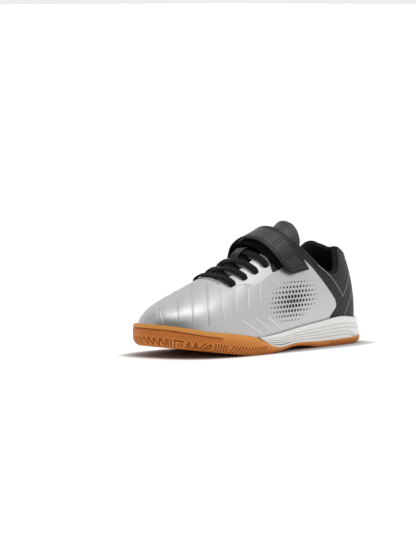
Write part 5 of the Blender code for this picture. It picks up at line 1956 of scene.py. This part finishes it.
@dataclass
class Studio:
    """Pale floor, soft light and the camera at the photograph's angle."""

    azimuth: float = 45.0
    elevation: float = 5.3
    distance: float = 3.0
    image: Grid = (416, 555)
    pixels_per_mm: float = 1.227
    anchor: Place = (110.0, 0.0, 0.0)
    anchor_pixel: Pair = (249.4, 348.6)
    axis_pixel: Pair = (233.0, 320.0)
    sensor: float = 36.0
    floor_size: float = 60.0
    # size, slant and soft edge of the painted shadow under the shoe, where the floor does not glow
    shadow_footprint: Pair = (101.0, 43.0)
    shadow_footprint_skew: float = 0.3
    shadow_footprint_edge: Pair = (0.9, 1.9)
    floor_colour: Colour = (0.62, 0.62, 0.62)
    floor_roughness: float = 0.9
    floor_specular: float = 0.1
    floor_glow: float = 0.60
    sky_level: float = 0.845
    sky_rise: float = 0.14
    dark_screens: tuple[Screen, ...] = (
        Screen((0.760, 0.494, 0.423), 0.66, 0.88, 0.85), Screen((0.45, -0.65, 0.61), 0.70, 0.95, 0.35),
    )
    lamp_place: Place = (-0.08, 0.11, 1.5)
    lamp_size: Pair = (0.55, 0.95)
    lamp_power: float = 3.1
    view_end: float = 100.0

    def build(self) -> None:
        """Set the floor, the lights and the camera."""
        self.floor()
        self.sky()
        self.lamp("overhead")
        self.camera()
        bpy.context.scene.view_settings.view_transform = "Standard"

    def floor(self) -> None:
        """Lay the floor, which glows white except in a painted shadow round the shoe's footprint."""
        bpy.ops.object.select_all(action="DESELECT")
        bpy.ops.mesh.primitive_plane_add(size=self.floor_size)
        floor = bpy.context.object
        floor.name = "studio_floor"
        material = bpy.data.materials.new("studio_floor")
        paint = Paint(material)
        x, y, _ = paint.axes()
        # painted shadow: the floor glows everywhere except round the shoe's footprint
        along = (x + self.shadow_footprint_skew * y) / self.shadow_footprint[0]
        across = y / self.shadow_footprint[1]
        away = (along ** 4 + across ** 4).step(*self.shadow_footprint_edge)
        glow_outside_painted_shadow = paint.blend(away, (0.0, 0.0, 0.0), (1.0, 1.0, 1.0))
        paint.set({"Base Color": self.floor_colour, "Roughness": self.floor_roughness,
                   "Specular IOR Level": self.floor_specular, "Emission Color": glow_outside_painted_shadow,
                   "Emission Strength": self.floor_glow})
        floor.data.materials.append(material)

    def sky(self) -> None:
        """Surround the shoe with light that is brightest overhead and dark behind the camera."""
        world = bpy.data.worlds.new("studio_light")
        bpy.context.scene.world = world
        paint = Paint(world, "BACKGROUND")
        direction = paint.node("ShaderNodeTexCoord", {}, {}, "Generated")
        height = paint.node("ShaderNodeSeparateXYZ", {}, {0: direction}, 2)
        light = self.sky_level + self.sky_rise * height
        for screen in self.dark_screens:
            near = paint.node("ShaderNodeVectorMath", {"operation": "DOT_PRODUCT"},
                              {0: direction, 1: screen.toward}, "Value")
            light = light * (1 - screen.loss * near.step(screen.edge, screen.core))
        paint.set({"Color": (1.0, 1.0, 1.0), "Strength": light})

    def lamp(self, name: str) -> None:
        """Hang an oblong soft light that looks at the shoe."""
        light = bpy.data.lights.new(name, "AREA")
        light.shape = "RECTANGLE"
        light.size, light.size_y = self.lamp_size
        light.energy = self.lamp_power
        lamp = bpy.data.objects.new(name, light)
        bpy.context.scene.collection.objects.link(lamp)
        place = np.array(self.lamp_place)
        lamp.matrix_world = self.facing(place, unit(place))

    def right_and_up(self, back: Array) -> tuple[Array, Array]:
        """Return the right and the up of something that looks away from a direction."""
        right = unit(np.cross(np.array([0.0, 0.0, 1.0]), back))
        return right, np.cross(back, right)

    def facing(self, place: Array, back: Array) -> Matrix:
        """Return the pose of something at a place that looks away from a direction."""
        right, up = self.right_and_up(back)
        pose = np.eye(4)
        pose[:3, 0], pose[:3, 1], pose[:3, 2], pose[:3, 3] = right, up, back, place
        return Matrix(pose.tolist())

    def camera(self) -> None:
        """Stand the camera so that the anchor falls on its pixel."""
        turn, rise = math.radians(self.azimuth), math.radians(self.elevation)
        back = np.array([math.cos(turn) * math.cos(rise), math.sin(turn) * math.cos(rise), math.sin(rise)])
        right, up = self.right_and_up(back)
        across = (self.axis_pixel[0] - self.anchor_pixel[0]) / self.pixels_per_mm * MM
        lift = (self.anchor_pixel[1] - self.axis_pixel[1]) / self.pixels_per_mm * MM
        aim = to_frame(np.array(self.anchor)) + across * right + lift * up
        data = bpy.data.cameras.new("camera")
        data.sensor_width = self.sensor
        data.lens = self.sensor * self.distance / (max(self.image) / self.pixels_per_mm * MM)
        data.shift_x = (self.image[0] / 2 - self.axis_pixel[0]) / max(self.image)
        data.shift_y = (self.axis_pixel[1] - self.image[1] / 2) / max(self.image)
        data.clip_end = self.view_end
        camera = bpy.data.objects.new("camera", data)
        camera.matrix_world = self.facing(aim + back * self.distance, back)
        bpy.context.scene.collection.objects.link(camera)
        bpy.context.scene.camera = camera


def main() -> None:
    """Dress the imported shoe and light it."""
    logging.basicConfig(level=logging.INFO, format="%(name)s %(message)s")
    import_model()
    for assembly in (Outsole(), Wedge(), Insole(), Upper(), Lining(), Overlays(), Tongue(), Laces(), Strap(),
                     Stitching()):
        assembly.build()
    Studio().build()


if __name__ == "__main__":
    main()
